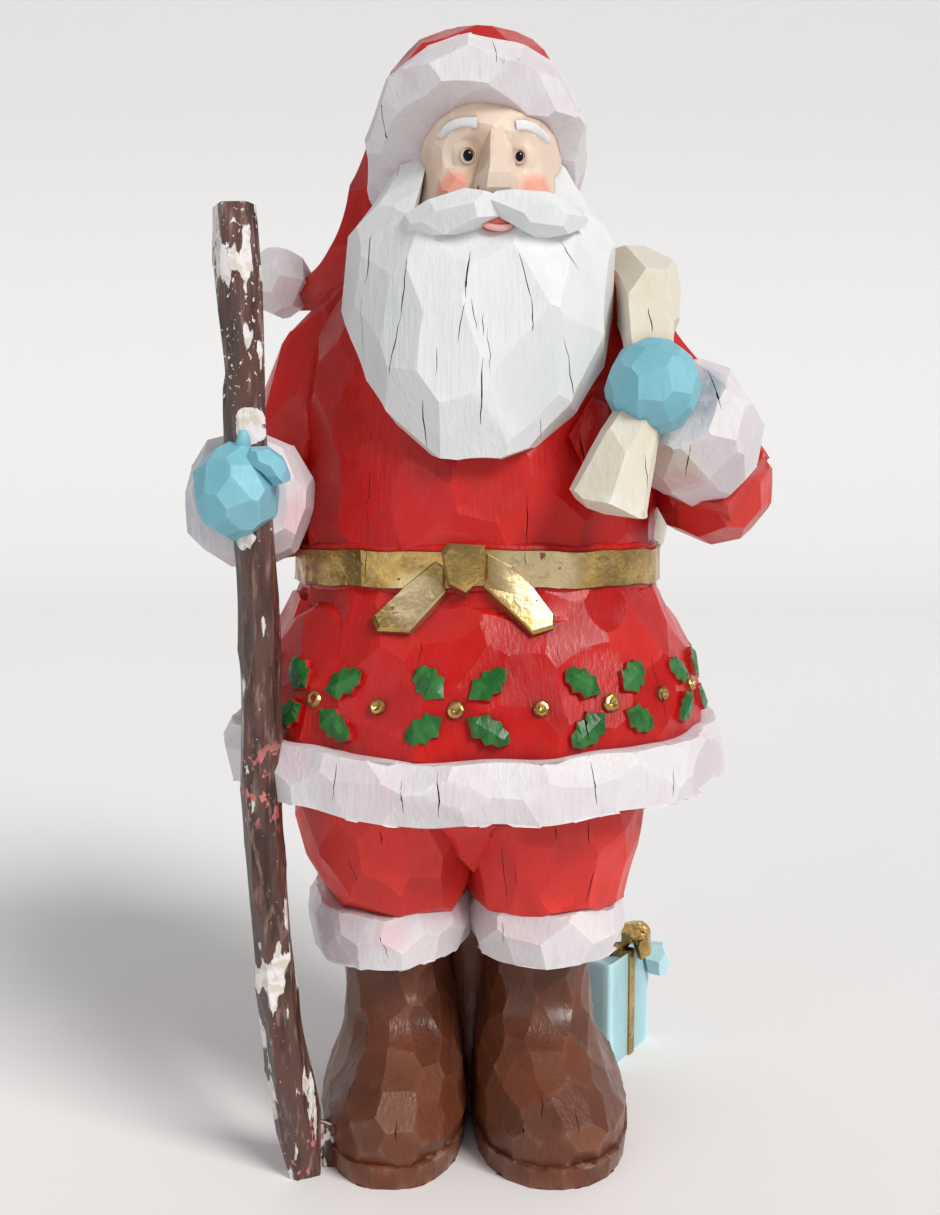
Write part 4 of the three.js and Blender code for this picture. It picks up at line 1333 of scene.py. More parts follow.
def moustache():
    """Two wings that meet under the nose. Stations: x, y and z of the middle, its depth and half its height"""
    left = [(-16.2, -42.0, 246.0, 0.8, 0.9), (-14.2, -43.2, 246.4, 2.4, 2.8), (-9.5, -45.4, 247.2, 3.8, 4.2),
            (-3.6, -47.2, 248.3, 4.4, 4.8), (0.8, -48.0, 249.3, 4.2, 4.2), (4.0, -47.9, 250.0, 3.6, 3.3),
            (7.0, -47.2, 250.4, 2.6, 2.4), (8.6, -46.6, 250.6, 1.2, 1.2)]
    right = [(5.2, -46.8, 250.4, 1.2, 1.2), (6.4, -47.4, 250.3, 2.7, 2.5), (9.2, -48.1, 250.0, 3.8, 3.4),
             (12.6, -48.2, 249.3, 4.3, 4.3), (16.8, -47.0, 248.2, 4.4, 4.8), (21.6, -44.8, 247.7, 3.6, 3.9),
             (25.4, -42.6, 247.5, 2.2, 2.4), (27.0, -41.4, 247.6, 0.8, 0.9)]
    small = knife()["small_cut"] * 0.8
    return [carve(limb(wing, "beard_white", edge=FINE_EDGE), small, seed, tilt=0.05, stretch=(0.8, 1, 1))
            for wing, seed in ((left, 84), (right, 85))]


def prism(outline, near, far, paint):
    """A block with an outline of x and z between two depths y"""
    outline = np.array(outline, float)
    rings = [np.stack([outline[:, 0], np.full(len(outline), y), outline[:, 1]], 1)
             for y in np.linspace(far, near, 6)]
    return skin(np.array(rings), 50, paint)


FACE_OPENING = [
    (-14.4, 246), (22.2, 246), (21.0, 254), (19.8, 261), (19.4, 268), (18.4, 273), (15.6, 277), (12, 280),
    (1, 280), (-5, 276.6), (-8.6, 272.6), (-10.4, 268), (-11.4, 262), (-13.0, 254),
]


def head_forms():
    """The beard and the head, what is hollowed out of them, and what lies over that"""
    cut = knife()
    plain = cut["plain_cut"]
    hair = upright([
        (236, 3, -3, 28, 30, 22), (248, 2.6, -4, 28.4, 27, 23), (258, 2.6, -5, 26.4, 25, 23),
        (268, 2.6, -5, 22.6, 23, 23), (285, 2, -3, 20, 20, 23),
    ], "fur_white")
    bib = upright([
        (191, 1.6, -38, 9, 9, 14), (195.4, 2.2, -36, 17, 13.4, 16), (203, 2.6, -32, 24, 18.4, 16),
        (212.4, 3, -28, 30, 23.2, 16), (224, 2.6, -24, 34.2, 27, 18), (236, 2.6, -20, 34, 30, 18),
        (248, 2.4, -16, 32.4, 30.6, 18), (257, 2.4, -12, 27, 24, 18), (266, 3, -10, 20.4, 18.6, 18),
    ], "beard_white", 2.3)
    front = face()
    beard = [carve(hair, plain, 71), carve(bib, plain * 0.88, 82, tilt=0.09, stretch=(1, 1, 0.55))]
    opening = prism(FACE_OPENING, -70, -23.5, "beard_white")
    mouth = ball((6.4, -45.6, 246.8), (4.3, 3.2, 2.9), "mouth_coral", 0.5)
    lower_lip = limb([(2.4, -47.0, 246.9, 0.35, 0.35), (4.0, -48.0, 245.6, 0.7, 0.62),
                      (6.7, -48.5, 244.9, 0.8, 0.7), (9.0, -48.1, 245.2, 0.7, 0.6),
                      (10.3, -47.3, 246.0, 0.35, 0.35)], "lip", (0, 1, 0), 0.4)
    middle = ball((7.0, -46.4, 250.2), (3.0, 3.0, 2.2), "beard_white", 0.5)
    over = [
        front, nose(), *eyes(front),
        brow(front, [(-7.0, 269.2, 0.5), (-5.0, 271.3, 1.0), (-1.9, 272.2, 1.05), (1.9, 271.9, 0.7)]),
        brow(front, [(11.0, 271.4, 1.0), (13.2, 271.6, 1.15), (15.6, 271.2, 1.1), (17.7, 270.0, 0.9),
                     (18.9, 268.7, 0.45)]),
    ]
    return beard, [opening], over, mouth, middle, lower_lip


class SANTA_OT_head(bpy.types.Operator):
    """Build the face, beard, moustache, hat and pompom"""

    bl_idname = "santa.head"
    bl_label = "Head and Hat"

    def execute(self, context):
        beard, hollows, over, mouth, middle, lower_lip = head_forms()
        over += [mouth, *moustache(), middle, lower_lip, *hat_forms()]
        finish_piece("head", beard, HEAD_CRACKS, hollows, over)
        return {"FINISHED"}


HEAD_CRACKS = front_and_back([
    (-24.0, 245.3, -25.6, 233.0, 1), (-15.0, 238.0, -16.5, 224.2, 1.1),
    (-16.5, 224.2, -19.5, 211.0, 0.9), (0.0, 239.3, -1.0, 228.3, 1.1),
    (-1.0, 228.3, -2.9, 217.7, 0.7), (0.2, 228.3, 1.7, 220.8, 0.6), (3.3, 224.8, 3.3, 219.6, 0.6),
    (3.1, 214.2, 2.6, 198.8, 1.1), (4.1, 221.3, 4.8, 210.7, 0.6), (11.6, 238.8, 14.5, 228.3, 0.9),
    (14.5, 228.3, 14.8, 220.8, 0.9), (21.8, 242.4, 26.2, 235.9, 0.7), (22.3, 219.4, 26.6, 202.1, 0.9),
    (-11.3, 204.8, -10.4, 193.5, 1.1), (17.1, 200.4, 17.1, 195.9, 0.6),
    (-26.5, 230.0, -26.4, 216.6, 0.7), (-7.9, 216.8, -8.2, 210.3, 0.6),
    (-21.7, 278.9, -20.9, 271.0, 0.9), (5.3, 291.7, 6.3, 284.6, 0.7), (27.6, 282.5, 27.7, 277.0, 0.6),
    (-18.1, 265.7, -18.4, 262.7, 0.6),
], [
    (-4, 292, -5, 276, 0.8), (14, 284, 15, 272, 0.7), (-17, 276, -20, 262, 0.8), (9, 262, 9, 254, 0.7),
])


def hat_trim():
    """The fur band of the hat, an oval ring tilted up at the forehead"""
    centre = np.array([1.5, -7.6, 270.4])
    tilt = math.radians(31)
    forward = np.array([0, -math.cos(tilt), math.sin(tilt)])
    upward = np.array([0, math.sin(tilt), math.cos(tilt)])
    across = np.array([1.0, 0, 0])
    stations = [(-9, 1.5), (-7.8, 5.0), (-4.2, 7.2), (1.6, 6.7), (5, 4.6), (6, 1.2)]
    t = even_places(stations, EDGE, [0, 1])
    profile = on_curve(stations, t)
    sides = int(2 * math.pi * 34 / EDGE)
    angle = np.arange(sides) / sides * 2 * math.pi
    rings = []
    for lift, swell in profile:
        u, v = superellipse(angle, 21.4 + swell, 30 + swell, 27 + swell, 2.2)
        rings.append(centre + u[:, None] * across - v[:, None] * forward + lift * upward)
    return skin(np.array(rings), EDGE * 2, "fur_white")


def hat_forms():
    cut = knife()
    plain, small = cut["plain_cut"], cut["small_cut"]
    crown = upright([
        (258, 0.6, 8, 22, 4, 16), (264, 0.6, 5, 23.6, 8, 20), (271, 0.6, 1, 24.4, 16, 25),
        (280, 0.8, 0, 24.8, 26, 26), (288, 0.8, 2, 24, 25, 25), (295.4, 1.4, 1, 21.2, 21, 22),
        (300.8, 1.8, 0.4, 15.6, 14, 16), (sizes()["figure_height"] - 0.3, 2.4, 1, 8, 6, 8),
    ], "coat_red")
    tail = limb([
        (-3, 7, 291, 6), (-6, 8, 289, 9.6), (-10.6, 9.6, 285.6, 12), (-16, 12.6, 274, 12.8), (-22.6, 15, 260.6, 12), (-30, 16, 249.6, 9.4),
        (-38, 17, 242, 6.4), (-45, 18, 239.4, 4.6), (-51, 18, 239.6, 3.6),
    ], "coat_red", (0, 1, 0))
    return [
        carve(hat_trim(), plain * 0.8, 91, tilt=0.07),
        carve(crown, plain * 0.9, 92),
        carve(tail, plain, 93),
        carve(ball((-54.4, 18, 241.6), (9.2, 9.2, 9.2), "fur_white", FINE_EDGE), small, 94),
    ]


# Walking stick and gift

STICK = [
    (-44.8, -26, 0, 4.6), (-45.4, -26.8, 6.4, 5.2), (-46.9, -28.7, 21.2, 5.9), (-48.6, -31, 36, 5.4),
    (-50.2, -33.2, 50.5, 5.1), (-51, -35.2, 64.7, 5), (-51.7, -37.2, 78.5, 4.9),
    (-51.9, -39.3, 92.2, 4.8), (-52.1, -41.1, 105.5, 4.8), (-52.2, -42.3, 131.1, 5.1),
    (-52.5, -42.7, 156.1, 5), (-52.8, -43, 169.7, 4.9), (-54.6, -43, 197.7, 5.2),
    (-55, -43, 216.9, 5.3), (-55.6, -43, 228.8, 5.3), (-56.2, -43, 243, 5.2), (-56.4, -43, 248.8, 5), (-56.4, -43, 250.6, 4.2),
    (-56.4, -43, 251.4, 2.4),
]


class SANTA_OT_stick(bpy.types.Operator):
    """Build the walking stick"""

    bl_idname = "santa.stick"
    bl_label = "Walking Stick"

    def execute(self, context):
        shaft = limb(STICK, "stick_bark", (0, 1, 0), FINE_EDGE)
        web = upright([(0, -39.4, -19, 6.4, 5, 8), (6, -40, -20, 5, 4, 6), (13, -42, -23, 3, 3, 3)],
                      "stick_bark")
        forms = [carve(shaft, 6, 97, stretch=(1, 1, 0.34), tilt=0.04), carve(web, 9, 96)]
        for form in forms:
            form.points[:, 2] = np.maximum(form.points[:, 2], 0)
        finish_piece("walking_stick", forms)
        return {"FINISHED"}


GIFT_CORNER = (44, 37)
GIFT_TURN = math.radians(58)


def gift_forms():
    s = sizes()
    half, height = s["gift_size"] / 2, s["gift_height"]
    c, si = math.cos(GIFT_TURN), math.sin(GIFT_TURN)

    def turned(form):
        x, y, z = form.points.T
        form.points = np.stack([GIFT_CORNER[0] + x * c - y * si, GIFT_CORNER[1] + x * si + y * c, z], 1)
        return form

    def block(width, depth, tall, u, v, paint, round_over=0.5):
        low = 0
        stations = [(low, u, v, width / 2 - round_over, depth / 2 - round_over, depth / 2 - round_over),
                    (low + round_over, u, v, width / 2, depth / 2, depth / 2),
                    (tall - round_over, u, v, width / 2, depth / 2, depth / 2),
                    (tall, u, v, width / 2 - round_over, depth / 2 - round_over, depth / 2 - round_over)]
        return turned(upright(stations, paint, 24, FINE_EDGE * 1.4))

    bow_u, bow_v = half, half - 9
    bow_x = GIFT_CORNER[0] + bow_u * c - bow_v * si
    bow_y = GIFT_CORNER[1] + bow_u * si + bow_v * c

    def loop(side, seed):
        form = limb([
            (bow_x, bow_y, height, 1.6), (bow_x + side * 4, bow_y - 1.6, height + 7, 3.4),
            (bow_x + side * 8, bow_y - 2.6, height + 7.4, 3.2), (bow_x + side * 9.4, bow_y - 3, height + 0.4, 1.8),
        ], "gold_leaf", (0, 1, 0), FINE_EDGE)
        return carve(form, 4, seed)

    return [
        block(s["gift_size"], s["gift_size"], height, half, half, "gift_blue"),
        block(4, s["gift_size"] + 1.4, height + 0.7, half, half, "gold_leaf", 0.3),
        block(s["gift_size"] + 1.4, 4, height + 0.7, half, half, "gold_leaf", 0.3),
        loop(-1, 97),
        loop(1, 98),
        carve(ball((bow_x, bow_y, height + 3), (3.4, 3.4, 3.6), "gold_leaf", FINE_EDGE), 3.5, 99),
        carve(ball((61.6, 60, 28), (4, 4.6, 5.4), "gift_blue", FINE_EDGE), 5, 100),
        carve(upright([(0, 39.6, 37, 6.4, 7, 6), (4.6, 39.8, 37.4, 5.4, 6, 5), (9, 40.4, 38, 3, 3.6, 3)],
                      "boot_brown"), 6, 101),
    ]


class SANTA_OT_gift(bpy.types.Operator):
    """Build the ribboned gift box"""

    bl_idname = "santa.gift"
    bl_label = "Gift"

    def execute(self, context):
        finish_piece("gift_box", gift_forms())
        return {"FINISHED"}


# Paint

def plain_material(name, colour, rough):
    material = bpy.data.materials.new(name)
    material.use_nodes = True
    shader = material.node_tree.nodes["Principled BSDF"]
    shader.inputs["Base Color"].default_value = (*colour, 1)
    shader.inputs["Roughness"].default_value = rough
    return material


class Paint:
    """A node material that is mixed step by step. Lengths are in millimetres."""

    def __init__(self, name, rough, coat=0.0, metallic=0.0):
        self.material = plain_material(name, (0.5, 0.5, 0.5), rough)
        self.tree = self.material.node_tree
        self.shader = self.tree.nodes["Principled BSDF"]
        self.shader.inputs["Coat Weight"].default_value = coat
        self.shader.inputs["Coat Roughness"].default_value = 0.22
        self.shader.inputs["Specular IOR Level"].default_value = 0.36
        self.shader.inputs["Metallic"].default_value = metallic
        self.place = self.node("ShaderNodeTexCoord").outputs["Object"]
        self.normal = None

    def node(self, kind, **settings):
        made = self.tree.nodes.new(kind)
        for key, value in settings.items():
            setattr(made, key, value)
        return made

    def fill(self, socket, value):
        if isinstance(value, bpy.types.NodeSocket):
            self.tree.links.new(value, socket)
        elif isinstance(value, (tuple, list)) or hasattr(value, "r"):
            socket.default_value = (*tuple(value)[:3], 1) if socket.type == "RGBA" else tuple(value)
        else:
            socket.default_value = value

    def noise(self, size, stretch=(1, 1, 1), detail=3.0, seed=0.0):
        """Noise from 0 to 1 with spots about a size wide, longer where stretch is more"""
        mapping = self.node("ShaderNodeMapping")
        mapping.inputs["Scale"].default_value = [1 / (size * MILLIMETRE * way) for way in stretch]
        mapping.inputs["Location"].default_value = (seed, seed * 1.7, seed * 0.6)
        self.tree.links.new(self.place, mapping.inputs["Vector"])
        texture = self.node("ShaderNodeTexNoise")
        texture.inputs["Scale"].default_value = 1.0
        texture.inputs["Detail"].default_value = detail
        self.tree.links.new(mapping.outputs["Vector"], texture.inputs["Vector"])
        return texture.outputs["Fac"]

    def ramp(self, value, low, high, to_low=0.0, to_high=1.0):
        made = self.node("ShaderNodeMapRange", interpolation_type="SMOOTHSTEP")
        for key, entry in (("Value", value), ("From Min", low), ("From Max", high),
                           ("To Min", to_low), ("To Max", to_high)):
            self.fill(made.inputs[key], entry)
        return made.outputs["Result"]

    def maths(self, kind, first, second=0.0):
        made = self.node("ShaderNodeMath", operation=kind, use_clamp=True)
        self.fill(made.inputs[0], first)
        self.fill(made.inputs[1], second)
        return made.outputs[0]

    def mix(self, first, second, factor):
        made = self.node("ShaderNodeMix", data_type="RGBA")
        self.fill(made.inputs["Factor"], factor)
        self.fill(made.inputs["A"], first)
        self.fill(made.inputs["B"], second)
        return made.outputs["Result"]

    def attribute(self, label):
        return self.node("ShaderNodeAttribute", attribute_name=label).outputs["Fac"]

    def spot(self, centre, radius):
        """1 at a place of the figure, fading to 0 at a radius"""
        made = self.node("ShaderNodeVectorMath", operation="DISTANCE")
        self.tree.links.new(self.place, made.inputs[0])
        made.inputs[1].default_value = in_frame(centre)
        return self.ramp(made.outputs["Value"], radius * MILLIMETRE, radius * 0.45 * MILLIMETRE)

    def height(self):
        """Height over the ground in metres"""
        made = self.node("ShaderNodeSeparateXYZ")
        self.tree.links.new(self.place, made.inputs[0])
        return made.outputs["Z"]

    def bump(self, value, depth, strength=1.0):
        made = self.node("ShaderNodeBump")
        made.inputs["Distance"].default_value = depth * MILLIMETRE
        made.inputs["Strength"].default_value = strength
        self.fill(made.inputs["Height"], value)
        if self.normal is not None:
            self.tree.links.new(self.normal, made.inputs["Normal"])
        self.normal = made.outputs["Normal"]

    def done(self, colour, rough=None, metallic=None):
        self.fill(self.shader.inputs["Base Color"], colour)
        if rough is not None:
            self.fill(self.shader.inputs["Roughness"], rough)
        if metallic is not None:
            self.fill(self.shader.inputs["Metallic"], metallic)
        if self.normal is not None:
            self.tree.links.new(self.normal, self.shader.inputs["Normal"])

    def brushed(self, base, shade, light, edge, grain=0.35, worn=0.5, edging=0.8, hollow_shade=0.55):
        """A base colour with mottling, upright grain, hollows darkened as painted shade, darker seams that are dark
        joints and painted shade, and lighter ridges that are wear and painted highlight
        """
        mottle = self.ramp(self.noise(11, (1, 1, 1.5), 4), 0.42, 0.72, 0, 0.45)
        colour = self.mix(base, shade, mottle)
        colour = self.mix(colour, shade, self.ramp(self.attribute("tone"), 0.0, 0.45, 0.55, 0.0))
        colour = self.mix(colour, light, self.ramp(self.attribute("tone"), 0.6, 1.0, 0.0, 0.12))
        fibre = self.ramp(self.noise(0.9, (1, 1, 14), 3, 3), 0.5, 0.78, 0, grain)
        colour = self.mix(colour, shade, fibre)
        # Hollows are darkened towards the edge colour: painted shade.
        hollow = self.maths("MULTIPLY", self.attribute("hollow"), hollow_shade)
        colour = self.mix(colour, edge, hollow)
        # Seams are darkened towards the edge colour: dark joints, and painted shade where raised parts meet.
        colour = self.mix(colour, edge, self.maths("MULTIPLY", self.attribute("seam"), edging))
        # Ridges are lightened in patches: partly wear, partly painted highlight.
        patch = self.ramp(self.noise(3.2, (1, 1, 2), 4, 7), 0.42, 0.6)
        ridge_wear_and_highlight = self.maths("MULTIPLY", self.attribute("ridge"), patch)
        return self.mix(colour, light, self.maths("MULTIPLY", ridge_wear_and_highlight, worn))

    def grain(self, depth=0.12):
        """Fine upright grain and brush marks in the surface"""
        self.bump(self.noise(0.8, (1, 1, 16), 3, 5), depth)
        self.bump(self.noise(2.6, (1, 1, 2.4), 4, 9), depth * 1.5)


def darker(colour, share):
    return tuple(channel * share for channel in tuple(colour)[:3])


def paler(colour, share):
    return tuple(channel + (1 - channel) * share for channel in tuple(colour)[:3])


def paint_reds(p):
    for name, base, rough, coat in (("coat_red", p.red, 0.33, 0.09), ("trouser_red", p.trouser_red, 0.42, 0.05)):
        paint = Paint(name, rough, coat)
        paint.shader.inputs["Specular IOR Level"].default_value = 0.28
        colour = paint.brushed(base, darker(base, 0.62), (0.80, 0.13, 0.11), darker(base, 0.2), 0.3, 0.35, 0.4, 0.4)
        if name == "coat_red":
            # Painted highlight: the sack arm's sleeve is painted a lighter red about the elbow.
            painted_highlight = paint.maths("MULTIPLY", paint.spot((69, -14, 181), 19), 0.5)
            colour = paint.mix(colour, (0.78, 0.075, 0.06), painted_highlight)
        paint.grain(0.1)
        paint.done(colour, paint.ramp(paint.noise(7, detail=4), 0.3, 0.7, rough - 0.08, rough + 0.12))


# Painted shade and tints on the fur cuffs and the hem: middle, radius and colour. The grey-blue and grey patches on
# the sleeves' cuffs are painted shade; the cream and pink ones are tints.
FUR_SHADE_AND_TINTS = [
    ((58.6, -38, 210), 6, (0.42, 0.46, 0.53)), ((58.8, -38, 203.6), 6, (0.42, 0.46, 0.53)),
    ((57.6, -38, 197), 4, (0.42, 0.46, 0.53)),
    ((50.2, -38, 190), 9, (0.72, 0.68, 0.55)), ((53.6, -36, 184), 7, (0.70, 0.50, 0.51)),
    ((-68, -30, 176), 12, (0.50, 0.50, 0.55)), ((-66, -32, 188), 9, (0.50, 0.50, 0.55)),
    ((-43, -34, 176), 8, (0.74, 0.52, 0.56)), ((-36, -30, 67), 14, (0.54, 0.44, 0.48)),
    ((-20, -38, 69), 8, (0.72, 0.52, 0.57)), ((12, -38, 66), 8, (0.72, 0.56, 0.61)),
    ((-42, -44, 117), 9, (0.76, 0.60, 0.68)), ((-22, -55, 110), 9, (0.76, 0.62, 0.69)),
]


def paint_whites(p):
    for name, base, shade, edge, rough in (
            ("fur_white", p.white, (0.60, 0.52, 0.56), (0.58, 0.40, 0.46), 0.5),
            ("beard_white", p.beard, (0.63, 0.66, 0.68), (0.55, 0.50, 0.52), 0.55),
            ("sack_cream", p.cream, (0.64, 0.57, 0.42), (0.40, 0.30, 0.20), 0.55)):
        paint = Paint(name, rough)
        colour = paint.brushed(base, shade, paler(base, 0.5), edge, 0.4, 0.6, 0.4, 0.4)
        if name == "fur_white":
            # Patches from the table above: grey-blue and grey painted shade, and cream and pink tints.
            for centre, radius, tint in FUR_SHADE_AND_TINTS:
                ragged = paint.ramp(paint.noise(3, (1, 1, 2), detail=4, seed=radius), 0.35, 0.5, 0.2, 0.8)
                colour = paint.mix(colour, tint, paint.maths("MULTIPLY", paint.spot(centre, radius), ragged))
        paint.grain(0.16)
        paint.done(colour, paint.ramp(paint.noise(6, detail=4), 0.3, 0.7, rough - 0.06, rough + 0.14))


def paint_face(p):
    paint = Paint("skin", 0.45)
    colour = paint.brushed(p.skin, darker(p.skin, 0.8), paler(p.skin, 0.25), (0.42, 0.20, 0.10), 0.2, 0.3, 0.6, 0.25)
    for centre, radius in (((-4.6, -36.5, 256.2), 6.4), ((17.6, -36, 255.4), 7.2)):
        ragged = paint.ramp(paint.noise(4, detail=3), 0.2, 0.5, 0.55, 1.0)
        colour = paint.mix(colour, p.cheek, paint.maths("MULTIPLY", paint.spot(centre, radius), ragged))
    # Painted shade with a brown wash: on the nose's left side and the left eye socket, down the face's left edge and
    # under the nose.
    for centre, radius, share in (((1.6, -38.5, 262.4), 5.8, 0.55), ((2.6, -37, 267.4), 4.4, 0.5),
                                  ((-11.5, -28, 262), 8, 0.3), ((8, -41, 254.2), 3.4, 0.3)):
        painted_shade_and_wash = paint.maths("MULTIPLY", paint.spot(centre, radius), share)
        colour = paint.mix(colour, (0.46, 0.27, 0.16), painted_shade_and_wash)
    # A dark red spot beside the nose's left wing: painted shade in the nostril crease.
    colour = paint.mix(colour, (0.45, 0.06, 0.03), paint.spot((2.2, -41.4, 255.2), 1.3))
    paint.grain(0.06)
    paint.done(colour)
    lip = Paint("lip", 0.4)
    lip.done(lip.brushed((0.82, 0.45, 0.42), p.cheek, (0.9, 0.7, 0.66), (0.5, 0.16, 0.12), 0.1))
    mouth = Paint("mouth_coral", 0.5)
    mouth.done(mouth.brushed((0.62, 0.16, 0.09), (0.45, 0.08, 0.05), (0.8, 0.3, 0.2), (0.4, 0.1, 0.08), 0.1))
    rim = Paint("eye_rim", 0.4)
    rim.done(rim.brushed((0.80, 0.60, 0.50), (0.6, 0.35, 0.25), (0.9, 0.8, 0.75), (0.35, 0.16, 0.10), 0.1))
    eye = plain_material("eye_black", (0.004, 0.003, 0.003), 0.3)
    eye.node_tree.nodes["Principled BSDF"].inputs["Specular IOR Level"].default_value = 0.2
    plain_material("crack_dark", (0.07, 0.04, 0.035), 0.8)


def paint_boots(p):
    paint = Paint("boot_brown", 0.34, 0.1)
    colour = paint.brushed(p.brown, darker(p.brown, 0.5), (0.34, 0.19, 0.12), darker(p.brown, 0.12), 0.4, 0.5)
    # Light brown patches along the sole's upper edge: scuffs and a painted highlight.
    level = paint.maths("MULTIPLY", paint.ramp(paint.height(), 0.0048, 0.0058),
                        paint.ramp(paint.height(), 0.0080, 0.0068))
    sole_scuff_and_highlight = paint.ramp(paint.noise(5, (1, 1, 0.5), 5, 2), 0.56, 0.64, 0, 0.8)
    colour = paint.mix(colour, (0.30, 0.19, 0.13), paint.maths("MULTIPLY", level, sole_scuff_and_highlight))
    paint.grain(0.14)
    paint.done(colour, paint.ramp(paint.noise(8, detail=4), 0.3, 0.7, 0.25, 0.5))


def paint_gold(p):
    paint = Paint("gold_leaf", 0.3)
    bare = paint.ramp(paint.noise(3.4, (1, 1, 1), 6, 4), 0.665, 0.70)
    cloud = paint.ramp(paint.noise(7, detail=5), 0.35, 0.65)
    fine = paint.ramp(paint.noise(0.8, (1.6, 1.6, 1), 4, 8), 0.4, 0.7)
    colour = paint.mix(darker(p.gold, 0.6), p.gold, cloud)
    colour = paint.mix(colour, paler(p.gold, 0.25), paint.maths("MULTIPLY", fine, 0.35))
    # Painted highlight: pale gold spots on the belt right of the knot and on the ribbon's left end.
    painted_highlight = paint.maths("MAXIMUM", paint.spot((17, -43, 164), 15), paint.spot((-14, -44, 156), 9))
    colour = paint.mix(colour, (0.86, 0.70, 0.42), paint.maths("MULTIPLY", painted_highlight, 0.7))
    line = paint.maths("MULTIPLY", paint.attribute("seam"), 0.55)
    end = paint.maths("MULTIPLY", paint.spot((-44, -16, 163), 16), paint.ramp(paint.noise(4, detail=5), 0.4, 0.55))
    worn = paint.maths("MAXIMUM", paint.maths("MAXIMUM", bare, line), end)
    colour = paint.mix(colour, (0.26, 0.07, 0.035), worn)
    paint.bump(paint.noise(4.2, detail=3), 0.3)
    paint.bump(paint.noise(1.0, detail=3, seed=3), 0.06)
    paint.done(colour, paint.ramp(cloud, 0, 1, 0.36, 0.24), paint.ramp(worn, 0.1, 0.9, 1.0, 0.1))


def paint_small(p):
    for name, base, light, edge, rough in (
            ("holly_green", p.green, (0.06, 0.30, 0.06), (0.01, 0.05, 0.01), 0.3),
            ("mitten_blue", p.blue, paler(p.blue, 0.3), darker(p.blue, 0.45), 0.42),
            ("gift_blue", p.gift, paler(p.gift, 0.35), darker(p.gift, 0.4), 0.42)):
        paint = Paint(name, rough)
        colour = paint.brushed(base, darker(base, 0.72), light, edge, 0.25, 0.35, 0.5, 0.4)
        paint.grain(0.08)
        paint.done(colour, paint.ramp(paint.noise(6, detail=4), 0.3, 0.7, rough - 0.08, rough + 0.1))


def paint_stick(p):
    paint = Paint("stick_bark", 0.5)
    colour = paint.mix(p.bark, darker(p.bark, 0.4), paint.ramp(paint.noise(3.4, (1, 1, 6), 4), 0.42, 0.66))
    light = paint.ramp(paint.noise(1.3, (1, 1, 8), 3, 3), 0.52, 0.72, 0, 0.75)
    colour = paint.mix(colour, (0.27, 0.17, 0.14), light)
    # Painted shade: the side that faces left, away from the key light, is painted grey.
    turn = paint.node("ShaderNodeVectorMath", operation="DOT_PRODUCT")
    paint.tree.links.new(paint.node("ShaderNodeTexCoord").outputs["Normal"], turn.inputs[0])
    turn.inputs[1].default_value = (-0.92, -0.38, 0)
    left = paint.ramp(turn.outputs["Value"], 0.55, 0.9, 0, 0.7)
    colour = paint.mix(colour, (0.115, 0.10, 0.095), left)
    height = paint.height()
    low_part = paint.ramp(height, 0.088, 0.066, 0.0, 0.11)
    high_part = paint.ramp(height, 0.200, 0.236, 0.0, 0.115)
    side = paint.maths("MULTIPLY", left, 0.06)
    spread = paint.maths("ADD", paint.maths("ADD", low_part, high_part), paint.noise(5, (1, 1, 3), 6, 6))
    spread = paint.maths("ADD", spread, side)
    peeled = paint.ramp(spread, 0.655, 0.675)
    few = paint.ramp(height, 0.190, 0.212, 0.06, 0.0)
    specks = paint.ramp(paint.maths("SUBTRACT", paint.noise(1.1, (1, 1, 1.3), 3, 2), few), 0.635, 0.66)
    zone = paint.ramp(height, 0.150, 0.20, 0.5, 1.0)
    chips = paint.maths("MAXIMUM", paint.spot((-52.6, -47.6, 198.4), 6.4), paint.spot((-54.4, -47, 171.2), 4.2))
    chips = paint.ramp(paint.maths("MULTIPLY", chips, paint.noise(3.2, detail=6, seed=4)), 0.27, 0.31)
    bare = paint.maths("MAXIMUM", paint.maths("MAXIMUM", peeled, chips), paint.maths("MULTIPLY", specks, zone))
    cream = paint.mix((0.62, 0.57, 0.48), (0.78, 0.74, 0.75), paint.ramp(paint.noise(2.4, detail=5), 0.4, 0.6))
    colour = paint.mix(colour, cream, bare)
    pink = paint.maths("MULTIPLY", paint.ramp(paint.noise(2.2, (1, 1, 1.4), 5, 11), 0.56, 0.62),
                       paint.spot((-50, -42, 110), 15))
    low_pink = paint.maths("MULTIPLY", paint.ramp(paint.noise(2.2, (1, 1, 2), 5, 12), 0.60, 0.64),
                           paint.spot((-46, -31, 8), 16))
    colour = paint.mix(colour, (0.56, 0.17, 0.16), paint.maths("MAXIMUM", pink, low_pink))
    colour = paint.mix(colour, darker(p.bark, 0.25), paint.maths("MULTIPLY", paint.attribute("seam"), 0.7))
    paint.bump(bare, 0.3)
    paint.grain(0.25)
    paint.done(colour, paint.ramp(bare, 0, 1, 0.42, 0.6))


class SANTA_OT_paint(bpy.types.Operator):
    """Mix the paints"""

    bl_idname = "santa.paint"
    bl_label = "Paint"

    def execute(self, context):
        p = context.scene.figurine_paint
        for mixing in (paint_reds, paint_whites, paint_face, paint_boots, paint_gold, paint_small,
                       paint_stick):
            mixing(p)
        return {"FINISHED"}


# Stage

class SANTA_OT_stage(bpy.types.Operator):
    """Set the floor, the lights and the camera"""

    bl_idname = "santa.stage"
    bl_label = "Stage"

    def execute(self, context):
        backdrop()
        lights()
        camera()
        return {"FINISHED"}


def in_frame(place):
    return Vector((np.array(place) + FIGURE_SHIFT) * MILLIMETRE)


